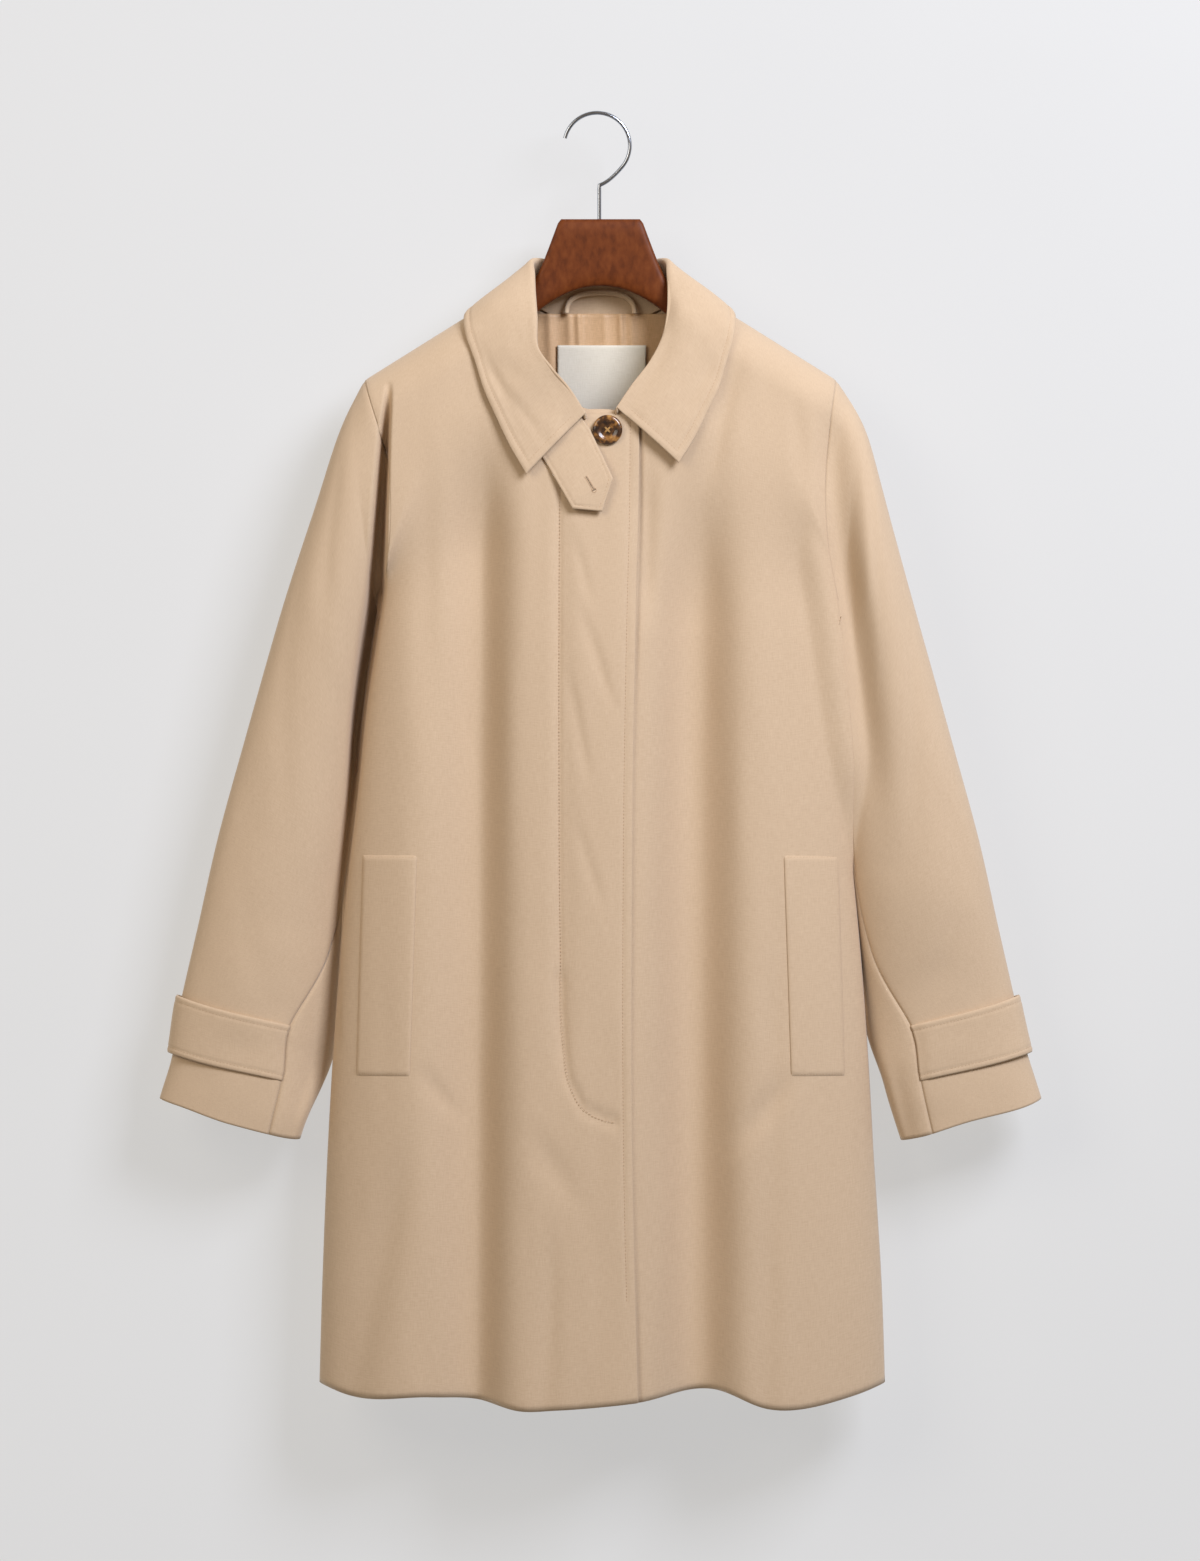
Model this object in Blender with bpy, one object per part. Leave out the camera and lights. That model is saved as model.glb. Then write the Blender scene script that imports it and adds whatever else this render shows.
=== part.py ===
"""A single-breasted car coat with a concealed fly front, hung on a wooden hanger with a wire hook.

Sizes are in millimetres. The frame's origin is the underside of the hook's top, where it hangs, with
+Z up and the coat's front towards -Y. Widths of the coat are measured from its centre line.
"""
import math

import bmesh
import bpy
import numpy as np
from mathutils import Matrix

# Cloth and seams
WALL = 1.6
SEAM = 0.3
COLLAR_WALL = 1.8
CENTRE_X = 3.0

# Neck and shoulders
NECK_POINT_X = 76.0
NECK_POINT_Z = -148.0
FRONT_NECK_Z = -256.0
FRONT_NECK_FLAT = 10.0
FRONT_NECK_POWER = 1.5
BACK_NECK_Z = -178.0
SHOULDER_TIP_X = 201.0
SHOULDER_TIP_Z = -226.0
SHOULDER_ROUND = 40.0
FRONT_NECK_ANGLES = (80, 64, 48, 32, 18, 7, 0)
BACK_NECK_XS = (0.0, 20.0, 38.0, 54.0, 67.0, 76.0)
UNDERARM_Z = -425.0
UNDERARM_DROP = 15.0
ARMHOLE_DEPTH_SHARE = 0.85
SEAM_SHARE = 0.6
CHEST_SPREAD = 6.0
SHOULDER_COLUMNS = 7
SKIRT_ROWS = 13
SIDE_POWER = 2.6

# Front closing: the wearer's right front laps over the left
LAP = 28.0
LAP_AT_HEM = 31.0
LAP_STEP = 2.4
LAP_FADE = 24.0

# Body of the coat, a row for each level
BODY_COLUMNS = ("z", "half_width", "depth_front", "depth_back")
BODY_ROWS = (
    (-1110.0, 241.0, 67.0, 50.0),
    (-1000.0, 238.0, 64.0, 48.0),
    (-856.0, 232.0, 61.0, 46.0),
    (-700.0, 221.5, 58.0, 45.0),
    (-560.0, 207.0, 55.0, 43.0),
    (-425.0, 190.0, 51.0, 41.0),
    (-360.0, 179.0, 47.0, 39.0),
    (-300.0, 180.5, 42.0, 36.0),
    (-226.0, 201.0, 34.0, 30.0),
    (-148.0, 214.0, 27.0, 26.0),
)

# Hem line across the front, seen from the front
HEM_COLUMNS = ("x", "z")
HEM_ROWS = (
    (-242.0, -1079.0),
    (-215.0, -1089.0),
    (-145.0, -1090.0),
    (-106.0, -1092.0),
    (-68.0, -1101.0),
    (-34.0, -1100.0),
    (31.0, -1094.0),
    (97.0, -1084.0),
    (144.0, -1100.0),
    (215.0, -1089.0),
    (242.0, -1079.0),
)
BACK_HEM_WAVE = 5.0

# Largest hanging folds, each a soft trough that runs from its top to its bottom, steeper on one side
FOLD_COLUMNS = ("x_top", "z_top", "x_bottom", "z_bottom", "gentle", "steep", "depth", "fade")
FRONT_FOLDS = (
    (-96.0, -262.0, -99.0, -1110.0, 26.0, 15.0, 11.5, 110.0),
    (-150.0, -250.0, -146.0, -560.0, 14.0, 12.0, 4.0, 140.0),
    (-165.0, -800.0, -212.0, -1110.0, 15.0, 11.0, 6.0, 140.0),
    (92.0, -290.0, 97.0, -1110.0, 30.0, 16.0, 12.0, 420.0),
    (168.0, -255.0, 166.0, -430.0, 9.0, 9.0, 3.0, 140.0),
)
BACK_FOLDS = (
    (-128.0, -420.0, -140.0, -1110.0, 18.0, 18.0, 8.0, 140.0),
    (-30.0, -520.0, -24.0, -1110.0, 20.0, 20.0, 7.0, 140.0),
    (70.0, -460.0, 82.0, -1110.0, 18.0, 18.0, 8.0, 140.0),
    (160.0, -700.0, 172.0, -1110.0, 15.0, 15.0, 5.0, 140.0),
)

# Sleeve, a row for each ring from the shoulder to the cuff
SLEEVE_COLUMNS = ("outer_x", "outer_z", "inner_x", "inner_z", "half_depth", "centre_y")
SLEEVE_ROWS = (
    (201.0, -226.0, 190.0, -425.0, 34.0, 0.0),
    (223.0, -272.0, 197.0, -455.0, 38.0, 1.0),
    (247.0, -348.0, 202.5, -492.0, 39.0, 3.0),
    (273.5, -438.0, 209.0, -542.0, 38.0, 5.0),
    (299.0, -528.0, 216.0, -605.0, 36.0, 6.0),
    (323.0, -615.0, 222.5, -668.0, 34.0, 7.0),
    (340.0, -690.0, 228.5, -728.0, 32.0, 7.0),
    (354.0, -751.0, 233.5, -785.0, 30.0, 7.0),
    (363.5, -797.0, 242.0, -828.0, 29.0, 7.0),
    (376.0, -839.0, 256.0, -872.0, 28.0, 7.0),
)
SLEEVE_RING_STEPS = 10
SLEEVE_SEAM_STEP = 9
UNDER_SLEEVE_SPANS = 6
SLEEVE_SPANS = 14
SLEEVE_FIRST = 0.5
SLEEVE_ROUND = 0.85
CROTCH_EASE = 0.7

# Seams of a sleeve, as parts of the half turn from its outer edge to its inner edge
SLEEVE_SEAM_COLUMNS = ("place", "turn")
SLEEVE_SEAM_ROWS = (
    (0.0, 0.90),
    (1.0, 0.90),
    (4.0, 0.90),
    (5.0, 0.88),
    (5.8, 0.82),
    (7.1, 0.65),
    (8.0, 0.67),
    (9.0, 0.69),
)

# Cuff strap, between two rings of the sleeve, standing off its outer edge
STRAP_START = 7.0
STRAP_END = 8.06
STRAP_WALL = 2.0
STRAP_STAND_OFF = 2.2
STRAP_SEAT = 0.6

# Collar, a row for each column of the neckline from the centre back to the front end
COLLAR_COLUMNS = ("fold_x", "fold_y", "fold_z", "edge_x", "edge_z", "sag")
COLLAR_BACK_ROWS = (
    (0.0, 22.5, -131.0, 0.0, -193.0, 0.0),
    (19.0, 22.0, -130.0, 27.5, -192.5, 0.05),
    (33.5, 20.0, -128.5, 54.5, -190.0, 0.12),
    (45.0, 16.0, -126.5, 79.0, -185.0, 0.26),
    (53.0, 10.0, -124.5, 98.0, -178.0, 0.4),
)
COLLAR_SHOULDER_ROW = (58.5, 0.0, -126.0, 111.0, -172.0, 0.47)
COLLAR_FRONT_ROWS = (
    (60.5, -9.0, -135.0, 113.0, -183.0, 0.34),
    (61.0, -17.0, -151.0, 110.5, -198.0, 0.2),
    (59.5, -24.0, -170.0, 106.0, -216.0, 0.15),
    (54.0, -30.0, -192.0, 99.0, -239.0, 0.18),
    (43.0, -35.0, -214.0, 89.0, -261.0, 0.26),
    (28.0, -39.0, -234.0, 77.5, -283.0, 0.38),
    (13.0, -42.5, -254.0, 64.0, -304.0, 0.48),
)
COLLAR_LIFT = 2.6
COLLAR_ROLL = 6.0
COLLAR_SEAT = 1.0
STAND_FOOT = 0.6
STAND_SHORT = 3.2
STAND_INSIDE = 2.6
FALL_STEPS = 7
STAND_STEPS = 3

# Throat tab, a row for each step from its root under the collar to its tip
TAB_COLUMNS = ("left_x", "left_z", "right_x", "right_z", "lift")
TAB_ROWS = (
    (-50.5, -292.0, -16.0, -259.5, 0.4),
    (-45.0, -300.5, -9.0, -269.0, 0.4),
    (-38.5, -312.0, -2.5, -283.0, 2.2),
    (-31.0, -325.0, 6.0, -301.0, 3.6),
    (-27.0, -332.0, 10.6, -311.5, 4.0),
    (-24.0, -337.0, 1.3, -339.6, 3.4),
)
TAB_WALL = 1.6
TAB_STEPS = 5

# Welt of a side pocket, its four corners
WELT_COLUMNS = ("inner_x", "outer_x", "z")
WELT_TOP = (155.0, 203.0, -630.0)
WELT_BOTTOM = (161.0, 208.5, -819.0)
WELT_WALL = 1.5
WELT_STEPS = (7, 8)

# Button at the throat
BUTTON_X = 5.9
BUTTON_Z = -270.0
BUTTON_R = 12.7
BUTTON_THICK = 3.6
BUTTON_DISH_R = 8.2
BUTTON_DISH = 1.1
BUTTON_HOLE_R = 1.0
BUTTON_HOLE_PITCH = 4.6

# Lining, label and loop inside the back neck
LINING_HALF_WIDTH = 94.0
LINING_TOP_Z = -182.0
LINING_BOTTOM_Z = -345.0
LINING_INSET = 2.0
LINING_WALL = 0.9
PLEAT_COLUMNS = ("x", "width", "depth")
PLEATS = (
    (-40.0, 5.0, 1.6),
    (-17.0, 4.5, 2.0),
    (4.0, 5.0, 1.4),
    (20.0, 4.5, 2.0),
    (43.0, 5.0, 1.6),
)
LABEL_LEFT = -37.0
LABEL_RIGHT = 39.0
LABEL_TOP_Z = -197.0
LABEL_BOTTOM_Z = -262.0
LABEL_WALL = 0.8
LOOP_Y = 19.6
LOOP_R = 2.4
LOOP_HALF_WIDTH = 31.0
LOOP_FOOT_Z = -176.5
LOOP_TOP_Z = -156.0

# Hanger and hook
HANGER_TOP_Z = -89.0
HANGER_TOP_HALF = 35.0
HANGER_ARCH_Z = -146.0
HANGER_ARM_END_X = 182.0
HANGER_ARM_DEPTH = 31.0
HANGER_ARM_END_DEPTH = 20.0
HANGER_NECK_X = 56.0
HANGER_THICK = 13.0
HANGER_SIDES = 16
HANGER_SQUARE = 2.6
HANGER_SEAT = 1.1
HANGER_DIP = 3.2
HANGER_DIP_X = 72.0
HANGER_DIP_WIDTH = 9.0
HOOK_WIRE_R = 1.7
HOOK_BEND_R = 28.0
HOOK_TIP_DEG = 167.0
HOOK_TURN_DEG = -40.0
HOOK_STEM_X = 2.0
HOOK_KINK_Z = -60.0
HOOK_SCREW_DEPTH = 16.0

# A quarter turn that brings what was drawn facing up round to face the front
TO_FRONT = Matrix.Rotation(math.radians(90), 3, "X")

COLOURS = {
    "gabardine": ((0.60, 0.43, 0.27), 0.85, 0.0),
    "lining_satin": ((0.42, 0.28, 0.15), 0.5, 0.0),
    "label_cloth": ((0.80, 0.76, 0.68), 0.8, 0.0),
    "horn": ((0.10, 0.055, 0.02), 0.25, 0.0),
    "wood": ((0.17, 0.05, 0.02), 0.45, 0.0),
    "chrome": ((0.62, 0.62, 0.63), 0.18, 1.0),
}


def clear_scene():
    """Remove every object that is already in the file."""
    for obj in list(bpy.data.objects):
        bpy.data.objects.remove(obj, do_unlink=True)


def collection(name):
    """A new collection in the scene."""
    made = bpy.data.collections.new(name)
    bpy.context.scene.collection.children.link(made)
    return made


def material(name):
    """The material of this name, made once from its row in COLOURS."""
    found = bpy.data.materials.get(name)
    if found:
        return found
    colour, roughness, metallic = COLOURS[name]
    made = bpy.data.materials.new(name)
    made.use_nodes = True
    shader = made.node_tree.nodes["Principled BSDF"]
    shader.inputs["Base Color"].default_value = (*colour, 1.0)
    shader.inputs["Roughness"].default_value = roughness
    shader.inputs["Metallic"].default_value = metallic
    made.diffuse_color = (*colour, 1.0)
    return made


def smooth_curve(keys, values, at):
    """A smooth curve through values at rising keys, read at one place."""
    keys = np.asarray(keys, float)
    values = np.asarray(values, float)
    slopes = np.gradient(values, keys)
    at = min(max(at, keys[0]), keys[-1])
    i = min(int(np.searchsorted(keys, at, side="right")) - 1, len(keys) - 2)
    span = keys[i + 1] - keys[i]
    t = (at - keys[i]) / span
    rise = values[i + 1] - values[i]
    start = slopes[i] * span
    end = slopes[i + 1] * span
    return values[i] + t * (start + t * (3 * rise - 2 * start - end + t * (start + end - 2 * rise)))


def column(rows, names, name):
    """One named column of a table."""
    return [row[names.index(name)] for row in rows]


def body_size(z, name):
    """A size of the body at a level."""
    return smooth_curve(column(BODY_ROWS, BODY_COLUMNS, "z"), column(BODY_ROWS, BODY_COLUMNS, name), z)


def ease(t):
    """A smooth step from 0 to 1."""
    t = min(max(t, 0.0), 1.0)
    return t * t * (3 - 2 * t)


def shoulder_z(x):
    """Height of the shoulder seam's line at a distance from the centre."""
    slope = (NECK_POINT_Z - SHOULDER_TIP_Z) / (SHOULDER_TIP_X - NECK_POINT_X)
    return NECK_POINT_Z - slope * (abs(x) - NECK_POINT_X)


def armhole_share(z):
    """How far down the armhole a level lies: 0 at the shoulder tip, 1 at the underarm."""
    return min(max((SHOULDER_TIP_Z - z) / (SHOULDER_TIP_Z - UNDERARM_Z), 0.0), 1.0)


def folds_at(x, z, rows):
    """Depth of the hanging folds at a place on a panel."""
    total = 0.0
    for x_top, z_top, x_bottom, z_bottom, gentle, steep, depth, fade in rows:
        if z >= z_top:
            continue
        share = (z_top - z) / (z_top - z_bottom)
        middle = x_top + (x_bottom - x_top) * share
        grow = ease((z_top - z) / fade)
        if z_bottom > BODY_ROWS[0][0]:
            grow *= ease((z - z_bottom) / fade)
        total += depth * grow * math.exp(-((x - middle) / (gentle if x < middle else steep)) ** 2)
    return total


def body_y(x, z, face, inset=0.0):
    """The body's wall seen from the front: face -1 is the front's surface and +1 the back's."""
    share = armhole_share(z)
    half = body_size(z, "half_width") - inset * ease((share - 0.8) / 0.2)
    n = min(abs(x) / half, 1.0)
    rounded = math.sqrt(max(0.0, 1.0 - n ** SIDE_POWER))
    edge = ARMHOLE_DEPTH_SHARE * math.sqrt(max(0.0, 1.0 - share ** 4))
    opened = 1.0 - (1.0 - edge) * n ** SIDE_POWER
    open_share = 1.0 - ease((share - 0.75) / 0.25)
    side = open_share * opened + (1.0 - open_share) * rounded
    below = (shoulder_z(x) - 1.2 * inset - z) / SHOULDER_ROUND
    top = math.sqrt(max(0.0, 1.0 - (1.0 - min(max(below, 0.0), 1.0)) ** 2))
    depth = body_size(z, "depth_front" if face < 0 else "depth_back") - inset
    rows = FRONT_FOLDS if face < 0 else BACK_FOLDS
    return face * (depth * top * side - folds_at(x, z, rows) * (1.0 - n ** 6) * top)


def front_neck_z(x):
    """Height of the front neckline at a distance from the centre."""
    reach = max(abs(x) - FRONT_NECK_FLAT, 0.0) / (NECK_POINT_X - FRONT_NECK_FLAT)
    drop = max(0.0, 1.0 - reach ** FRONT_NECK_POWER) ** (1.0 / FRONT_NECK_POWER)
    return NECK_POINT_Z - (NECK_POINT_Z - FRONT_NECK_Z) * drop


def back_neck_z(x):
    """Height of the back neckline at a distance from the centre."""
    return BACK_NECK_Z + (NECK_POINT_Z - BACK_NECK_Z) * (abs(x) / NECK_POINT_X) ** 2.4


def hem_z(x, face):
    """Height of the hem."""
    if face < 0:
        return smooth_curve(column(HEM_ROWS, HEM_COLUMNS, "x"), column(HEM_ROWS, HEM_COLUMNS, "z"), x)
    n = min(abs(x) / HEM_ROWS[-1][0], 1.0)
    return HEM_ROWS[0][1] - (1.0 - n ** 4) * (8.0 + BACK_HEM_WAVE * math.cos(x / 34.0))


def armhole_levels():
    """Levels of the armhole's points, closer together at both ends."""
    steps = SLEEVE_RING_STEPS
    return [(1 - math.cos(math.pi * i / steps)) / 2 for i in range(steps + 1)]


def armhole_point(share, face):
    """A point of the armhole seam, on the front or the back of the wearer's left side."""
    z = SHOULDER_TIP_Z - (SHOULDER_TIP_Z - UNDERARM_Z) * share
    x = body_size(z, "half_width")
    return np.array((x, body_y(x, z, face), z))


def neck_columns(face, lap):
    """Where the columns of a half panel start along the neckline, as distances from the centre."""
    if face > 0:
        return list(BACK_NECK_XS)
    reach = NECK_POINT_X - FRONT_NECK_FLAT
    neck = [FRONT_NECK_FLAT + reach * math.cos(math.radians(a)) for a in FRONT_NECK_ANGLES]
    return [-lap, -0.35 * lap, 0.3 * lap] + neck


def shoulder_columns():
    """Where the columns of a half panel start along the shoulder."""
    turns = [math.pi / 2 * k / SHOULDER_COLUMNS for k in range(1, SHOULDER_COLUMNS + 1)]
    return [NECK_POINT_X + (SHOULDER_TIP_X - NECK_POINT_X) * math.sin(turn) for turn in turns]


def half_panel(sign, face, lap):
    """Rows of points over half of the coat's body, from the centre or lapped edge to the side."""
    neck = neck_columns(face, lap)
    outer = shoulder_columns()
    chest_half = body_size(UNDERARM_Z, "half_width")
    chest_neck = NECK_POINT_X + CHEST_SPREAD
    tops = [(a, front_neck_z(a) if face < 0 else back_neck_z(a)) for a in neck]
    tops += [(a, shoulder_z(a)) for a in outer]
    rising = [a for a in neck if a > 0]
    chests = [a for a in neck if a <= 0]
    chests += [chest_neck * (k + 1) / len(rising) for k in range(len(rising))]
    for a in outer:
        share = (a - NECK_POINT_X) / (SHOULDER_TIP_X - NECK_POINT_X)
        chests.append(chest_neck + (chest_half - chest_neck) * share)
    chest_z = [UNDERARM_Z - UNDERARM_DROP * (1 - (c / chest_half) ** 2) for c in chests]
    rows = []
    for share in armhole_levels():
        edge_x, _, edge_z = armhole_point(share, face)
        line_x = tops[-1][0] + (chests[-1] - tops[-1][0]) * share
        line_z = tops[-1][1] + (chest_z[-1] - tops[-1][1]) * share
        row = []
        for (top_x, top_z), chest_x, low_z in zip(tops, chests, chest_z):
            pull = max(top_x / SHOULDER_TIP_X, 0.0) ** 3
            row.append((top_x + (chest_x - top_x) * share + (edge_x - line_x) * pull,
                        top_z + (low_z - top_z) * share + (edge_z - line_z) * pull))
        rows.append(row)
    for i in range(1, SKIRT_ROWS + 1):
        t = i / SKIRT_ROWS
        side_z = UNDERARM_Z + (hem_z(sign * HEM_ROWS[-1][0], face) - UNDERARM_Z) * t
        widen = body_size(side_z, "half_width") / chest_half
        row = []
        for chest_x, low_z in zip(chests, chest_z):
            x = chest_x * (widen if chest_x > 0 else 1 + (LAP_AT_HEM / LAP - 1) * t)
            row.append((x, low_z + (hem_z(sign * x, face) - low_z) * t))
        rows.append(row)
    return np.array([[(sign * x, body_y(sign * x, z, face), z) for x, z in row] for row in rows])


def grid_normals(grid):
    """Unit normals of a grid, from the directions along and across it."""
    normal = np.cross(np.gradient(grid, axis=0), np.gradient(grid, axis=1))
    return normal / np.maximum(np.linalg.norm(normal, axis=2, keepdims=True), 1e-9)


def unit(vector):
    """A vector of length 1."""
    vector = np.asarray(vector, float)
    return vector / np.linalg.norm(vector)


def shoulder_normal(sign):
    """The way the shoulder seam faces."""
    return unit((sign * (NECK_POINT_Z - SHOULDER_TIP_Z), 0.0, SHOULDER_TIP_X - NECK_POINT_X))


def armhole_normal(step, face):
    """The way the upper armhole seam faces, half way between the body and the sleeve."""
    share = armhole_levels()[step]
    x, y, z = armhole_point(share, face)
    near = 4.0
    slope_x = (y - body_y(x - near, z, face)) / near
    slope_z = (body_y(x - near, z + near / 2, face) - body_y(x - near, z - near / 2, face)) / near
    body = unit((-face * slope_x, face, -face * slope_z))
    down = sleeve_point(SLEEVE_FIRST, -face * step) - armhole_point(share, face)
    before = armhole_point(armhole_levels()[max(step - 1, 0)], face)
    after = armhole_point(armhole_levels()[step + 1], face)
    round_ring = after - before
    sleeve = np.cross(down, round_ring)
    sleeve = unit(sleeve if sleeve[0] + face * sleeve[1] > 0 else -sleeve)
    if step == 0:
        down_slope = down / np.linalg.norm(down)
        return unit(shoulder_normal(1) + unit((-down_slope[2], 0.0, down_slope[0])))
    return unit(body + sleeve)


def body_normal(x, z, face):
    """The way the body's cloth faces at a place seen from the front."""
    near = 1.0
    slope_x = (body_y(x + near, z, face) - body_y(x - near, z, face)) / (2 * near)
    slope_z = (body_y(x, z + near, face) - body_y(x, z - near, face)) / (2 * near)
    return unit((-face * slope_x, face, -face * slope_z))


def panel_wall(grid, sign, face):
    """Outer and inner points of half a panel: its wall goes in square to the cloth and fits its seams."""
    normal = np.array([[body_normal(x, z, face) for x, _, z in row] for row in grid])
    levels = len(armhole_levels())
    neck_point = grid.shape[1] - SHOULDER_COLUMNS - 1
    normal[0, neck_point:] = shoulder_normal(sign)
    normal[0, neck_point] = (0.0, 0.0, 1.0)
    normal[levels - 1:, -1] = (sign, 0.0, 0.0)
    joined = int(SEAM_SHARE * levels)
    for step in range(joined):
        normal[step, -1] = armhole_normal(step, face) * (sign, 1, 1)
    for step in range(joined, levels - 1):
        turn = ease((step - joined + 1) / (levels - 2 - joined))
        normal[step, -1] = unit(normal[step, -1] * (1 - turn) + np.array((sign, 0.0, 0.0)) * turn)
    return grid, grid - normal * WALL


def lap_step(x):
    """How far the left front lies under the right one."""
    return LAP_STEP * (1.0 - ease((x - LAP) / LAP_FADE))


def pulled_in(grid, edges, gap):
    """The grid with the named edges moved in by a gap along the cloth."""
    grid = np.array(grid, float)
    moves = {"top": (0, 1, 0), "bottom": (-1, -2, 0), "left": (0, 1, 1), "right": (-1, -2, 1)}
    for name in edges:
        edge, beside, axis = moves[name]
        here = grid.take(edge, axis=axis)
        way = grid.take(beside, axis=axis) - here
        length = np.linalg.norm(way, axis=1, keepdims=True)
        here = here + way / np.maximum(length, 1e-6) * gap
        if axis == 0:
            grid[edge] = here
        else:
            grid[:, edge] = here
    return grid


def finish_mesh(name, bm, look, parts):
    """Turn a bmesh in millimetres into a smooth-shaded object of the coat."""
    bmesh.ops.scale(bm, vec=(0.001, 0.001, 0.001), verts=bm.verts)
    bmesh.ops.recalc_face_normals(bm, faces=bm.faces)
    mesh = bpy.data.meshes.new(name)
    bm.to_mesh(mesh)
    bm.free()
    mesh.shade_smooth()
    mesh.set_sharp_from_angle(angle=math.radians(40))
    mesh.materials.append(material(look))
    obj = bpy.data.objects.new(name, mesh)
    parts.objects.link(obj)
    return obj


def cloth_wall(name, outer, inner, look, parts, shift=CENTRE_X):
    """A closed wall between an outer and an inner grid of the same size."""
    outer = np.asarray(outer, float) + (shift, 0.0, 0.0)
    inner = np.asarray(inner, float) + (shift, 0.0, 0.0)
    rows, cols = outer.shape[:2]
    bm = bmesh.new()
    out = [[bm.verts.new(p) for p in row] for row in outer]
    inn = [[bm.verts.new(p) for p in row] for row in inner]
    for i in range(rows - 1):
        for j in range(cols - 1):
            bm.faces.new((out[i][j], out[i][j + 1], out[i + 1][j + 1], out[i + 1][j]))
            bm.faces.new((inn[i][j], inn[i + 1][j], inn[i + 1][j + 1], inn[i][j + 1]))
    rim_out = out[0] + [row[-1] for row in out[1:]] + out[-1][-2::-1] + [row[0] for row in out[-2:0:-1]]
    rim_in = inn[0] + [row[-1] for row in inn[1:]] + inn[-1][-2::-1] + [row[0] for row in inn[-2:0:-1]]
    for k, here in enumerate(rim_out):
        after = (k + 1) % len(rim_out)
        bm.faces.new((here, rim_in[k], rim_in[after], rim_out[after]))
    return finish_mesh(name, bm, look, parts)


def make_fronts(parts):
    """The right front with the fly's edge, and the left front that lies under it."""
    walls = panel_wall(half_panel(-1, -1, LAP), -1, -1)
    walls = [pulled_in(grid, ("top", "right"), SEAM / 2) for grid in walls]
    cloth_wall("front_right", *walls, "gabardine", parts)
    grid = half_panel(1, -1, LAP)
    for point in grid.reshape(-1, 3):
        point[1] += lap_step(point[0])
    walls = [pulled_in(wall, ("top", "right"), SEAM / 2) for wall in panel_wall(grid, 1, -1)]
    cloth_wall("front_left", *walls, "gabardine", parts)


def make_back(parts):
    """The back, cut in one piece."""
    right = panel_wall(half_panel(-1, 1, 0.0), -1, 1)
    left = panel_wall(half_panel(1, 1, 0.0), 1, 1)
    walls = []
    for right_half, left_half in zip(right, left):
        grid = np.concatenate((right_half[:, :0:-1], left_half), axis=1)
        walls.append(pulled_in(grid, ("top", "left", "right"), SEAM / 2))
    cloth_wall("back", *walls, "gabardine", parts)


def sleeve_size(place, name):
    """A size of the sleeve at a place counted in rows of its table."""
    values = column(SLEEVE_ROWS, SLEEVE_COLUMNS, name)
    return smooth_curve(range(len(values)), values, place)


def sleeve_step(place, lane):
    """Where a lane of the sleeve lies round its ring, in steps from the outer edge."""
    keys = column(SLEEVE_SEAM_ROWS, SLEEVE_SEAM_COLUMNS, "place")
    turn = smooth_curve(keys, column(SLEEVE_SEAM_ROWS, SLEEVE_SEAM_COLUMNS, "turn"), place)
    seam = SLEEVE_RING_STEPS * turn
    if abs(lane) <= SLEEVE_SEAM_STEP:
        return lane * seam / SLEEVE_SEAM_STEP
    under = (lane - SLEEVE_SEAM_STEP) / (2 * (SLEEVE_RING_STEPS - SLEEVE_SEAM_STEP))
    return seam + 2 * (SLEEVE_RING_STEPS - seam) * under


def crotch_point(step, face):
    """A point where the sleeve starts at the armhole, a little out from the body at the underarm."""
    share = armhole_levels()[step]
    return armhole_point(share, face) + (CROTCH_EASE * share ** 6, 0.0, 0.0)


def sleeve_point(place, lane):
    """A point of the left sleeve: lanes go from the outer edge, by the front, to the inner edge."""
    step = sleeve_step(place, lane)
    face = -1 if 0 <= step <= SLEEVE_RING_STEPS else 1
    step = abs(step) if step <= SLEEVE_RING_STEPS else 2 * SLEEVE_RING_STEPS - step
    if place == 0:
        before = min(int(step + 1e-6), SLEEVE_RING_STEPS - 1)
        near, far = (crotch_point(k, face) for k in (before, before + 1))
        return near + (far - near) * (step - before)
    share = (1 - math.cos(math.pi * step / SLEEVE_RING_STEPS)) / 2
    outer = np.array((sleeve_size(place, "outer_x"), sleeve_size(place, "outer_z")))
    inner = np.array((sleeve_size(place, "inner_x"), sleeve_size(place, "inner_z")))
    x, z = outer + (inner - outer) * share
    reach = max(math.sin(math.pi * step / SLEEVE_RING_STEPS), 0.0) ** SLEEVE_ROUND
    y = sleeve_size(place, "centre_y") + face * sleeve_size(place, "half_depth") * reach
    return np.array((x, y, z))


def top_sleeve_lanes():
    """Lanes of the top sleeve, from its back seam round the outer edge to its front seam."""
    return list(range(-SLEEVE_SEAM_STEP, SLEEVE_SEAM_STEP + 1))


def under_sleeve_lanes():
    """Lanes of the under sleeve, from its front seam round the inner edge to its back seam."""
    width = 2 * (SLEEVE_RING_STEPS - SLEEVE_SEAM_STEP)
    return [SLEEVE_SEAM_STEP + width * k / UNDER_SLEEVE_SPANS for k in range(UNDER_SLEEVE_SPANS + 1)]


def sleeve_wall(places):
    """Outer points all round the left sleeve, and the way its cloth faces there."""
    lanes = top_sleeve_lanes() + under_sleeve_lanes()[1:-1]
    grid = np.array([[sleeve_point(place, lane) for lane in lanes] for place in places])
    wrapped = np.concatenate((grid[:, -1:], grid, grid[:, :1]), axis=1)
    normal = grid_normals(wrapped)[:, 1:-1]
    if normal[len(places) // 2, SLEEVE_SEAM_STEP, 0] < 0:
        normal = -normal
    for k, lane in enumerate(lanes):
        if places[0] == 0 and abs(lane) < int(SEAM_SHARE * len(armhole_levels())):
            normal[0, k] = armhole_normal(abs(lane), -1 if lane >= 0 else 1)
    return grid, normal


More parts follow.
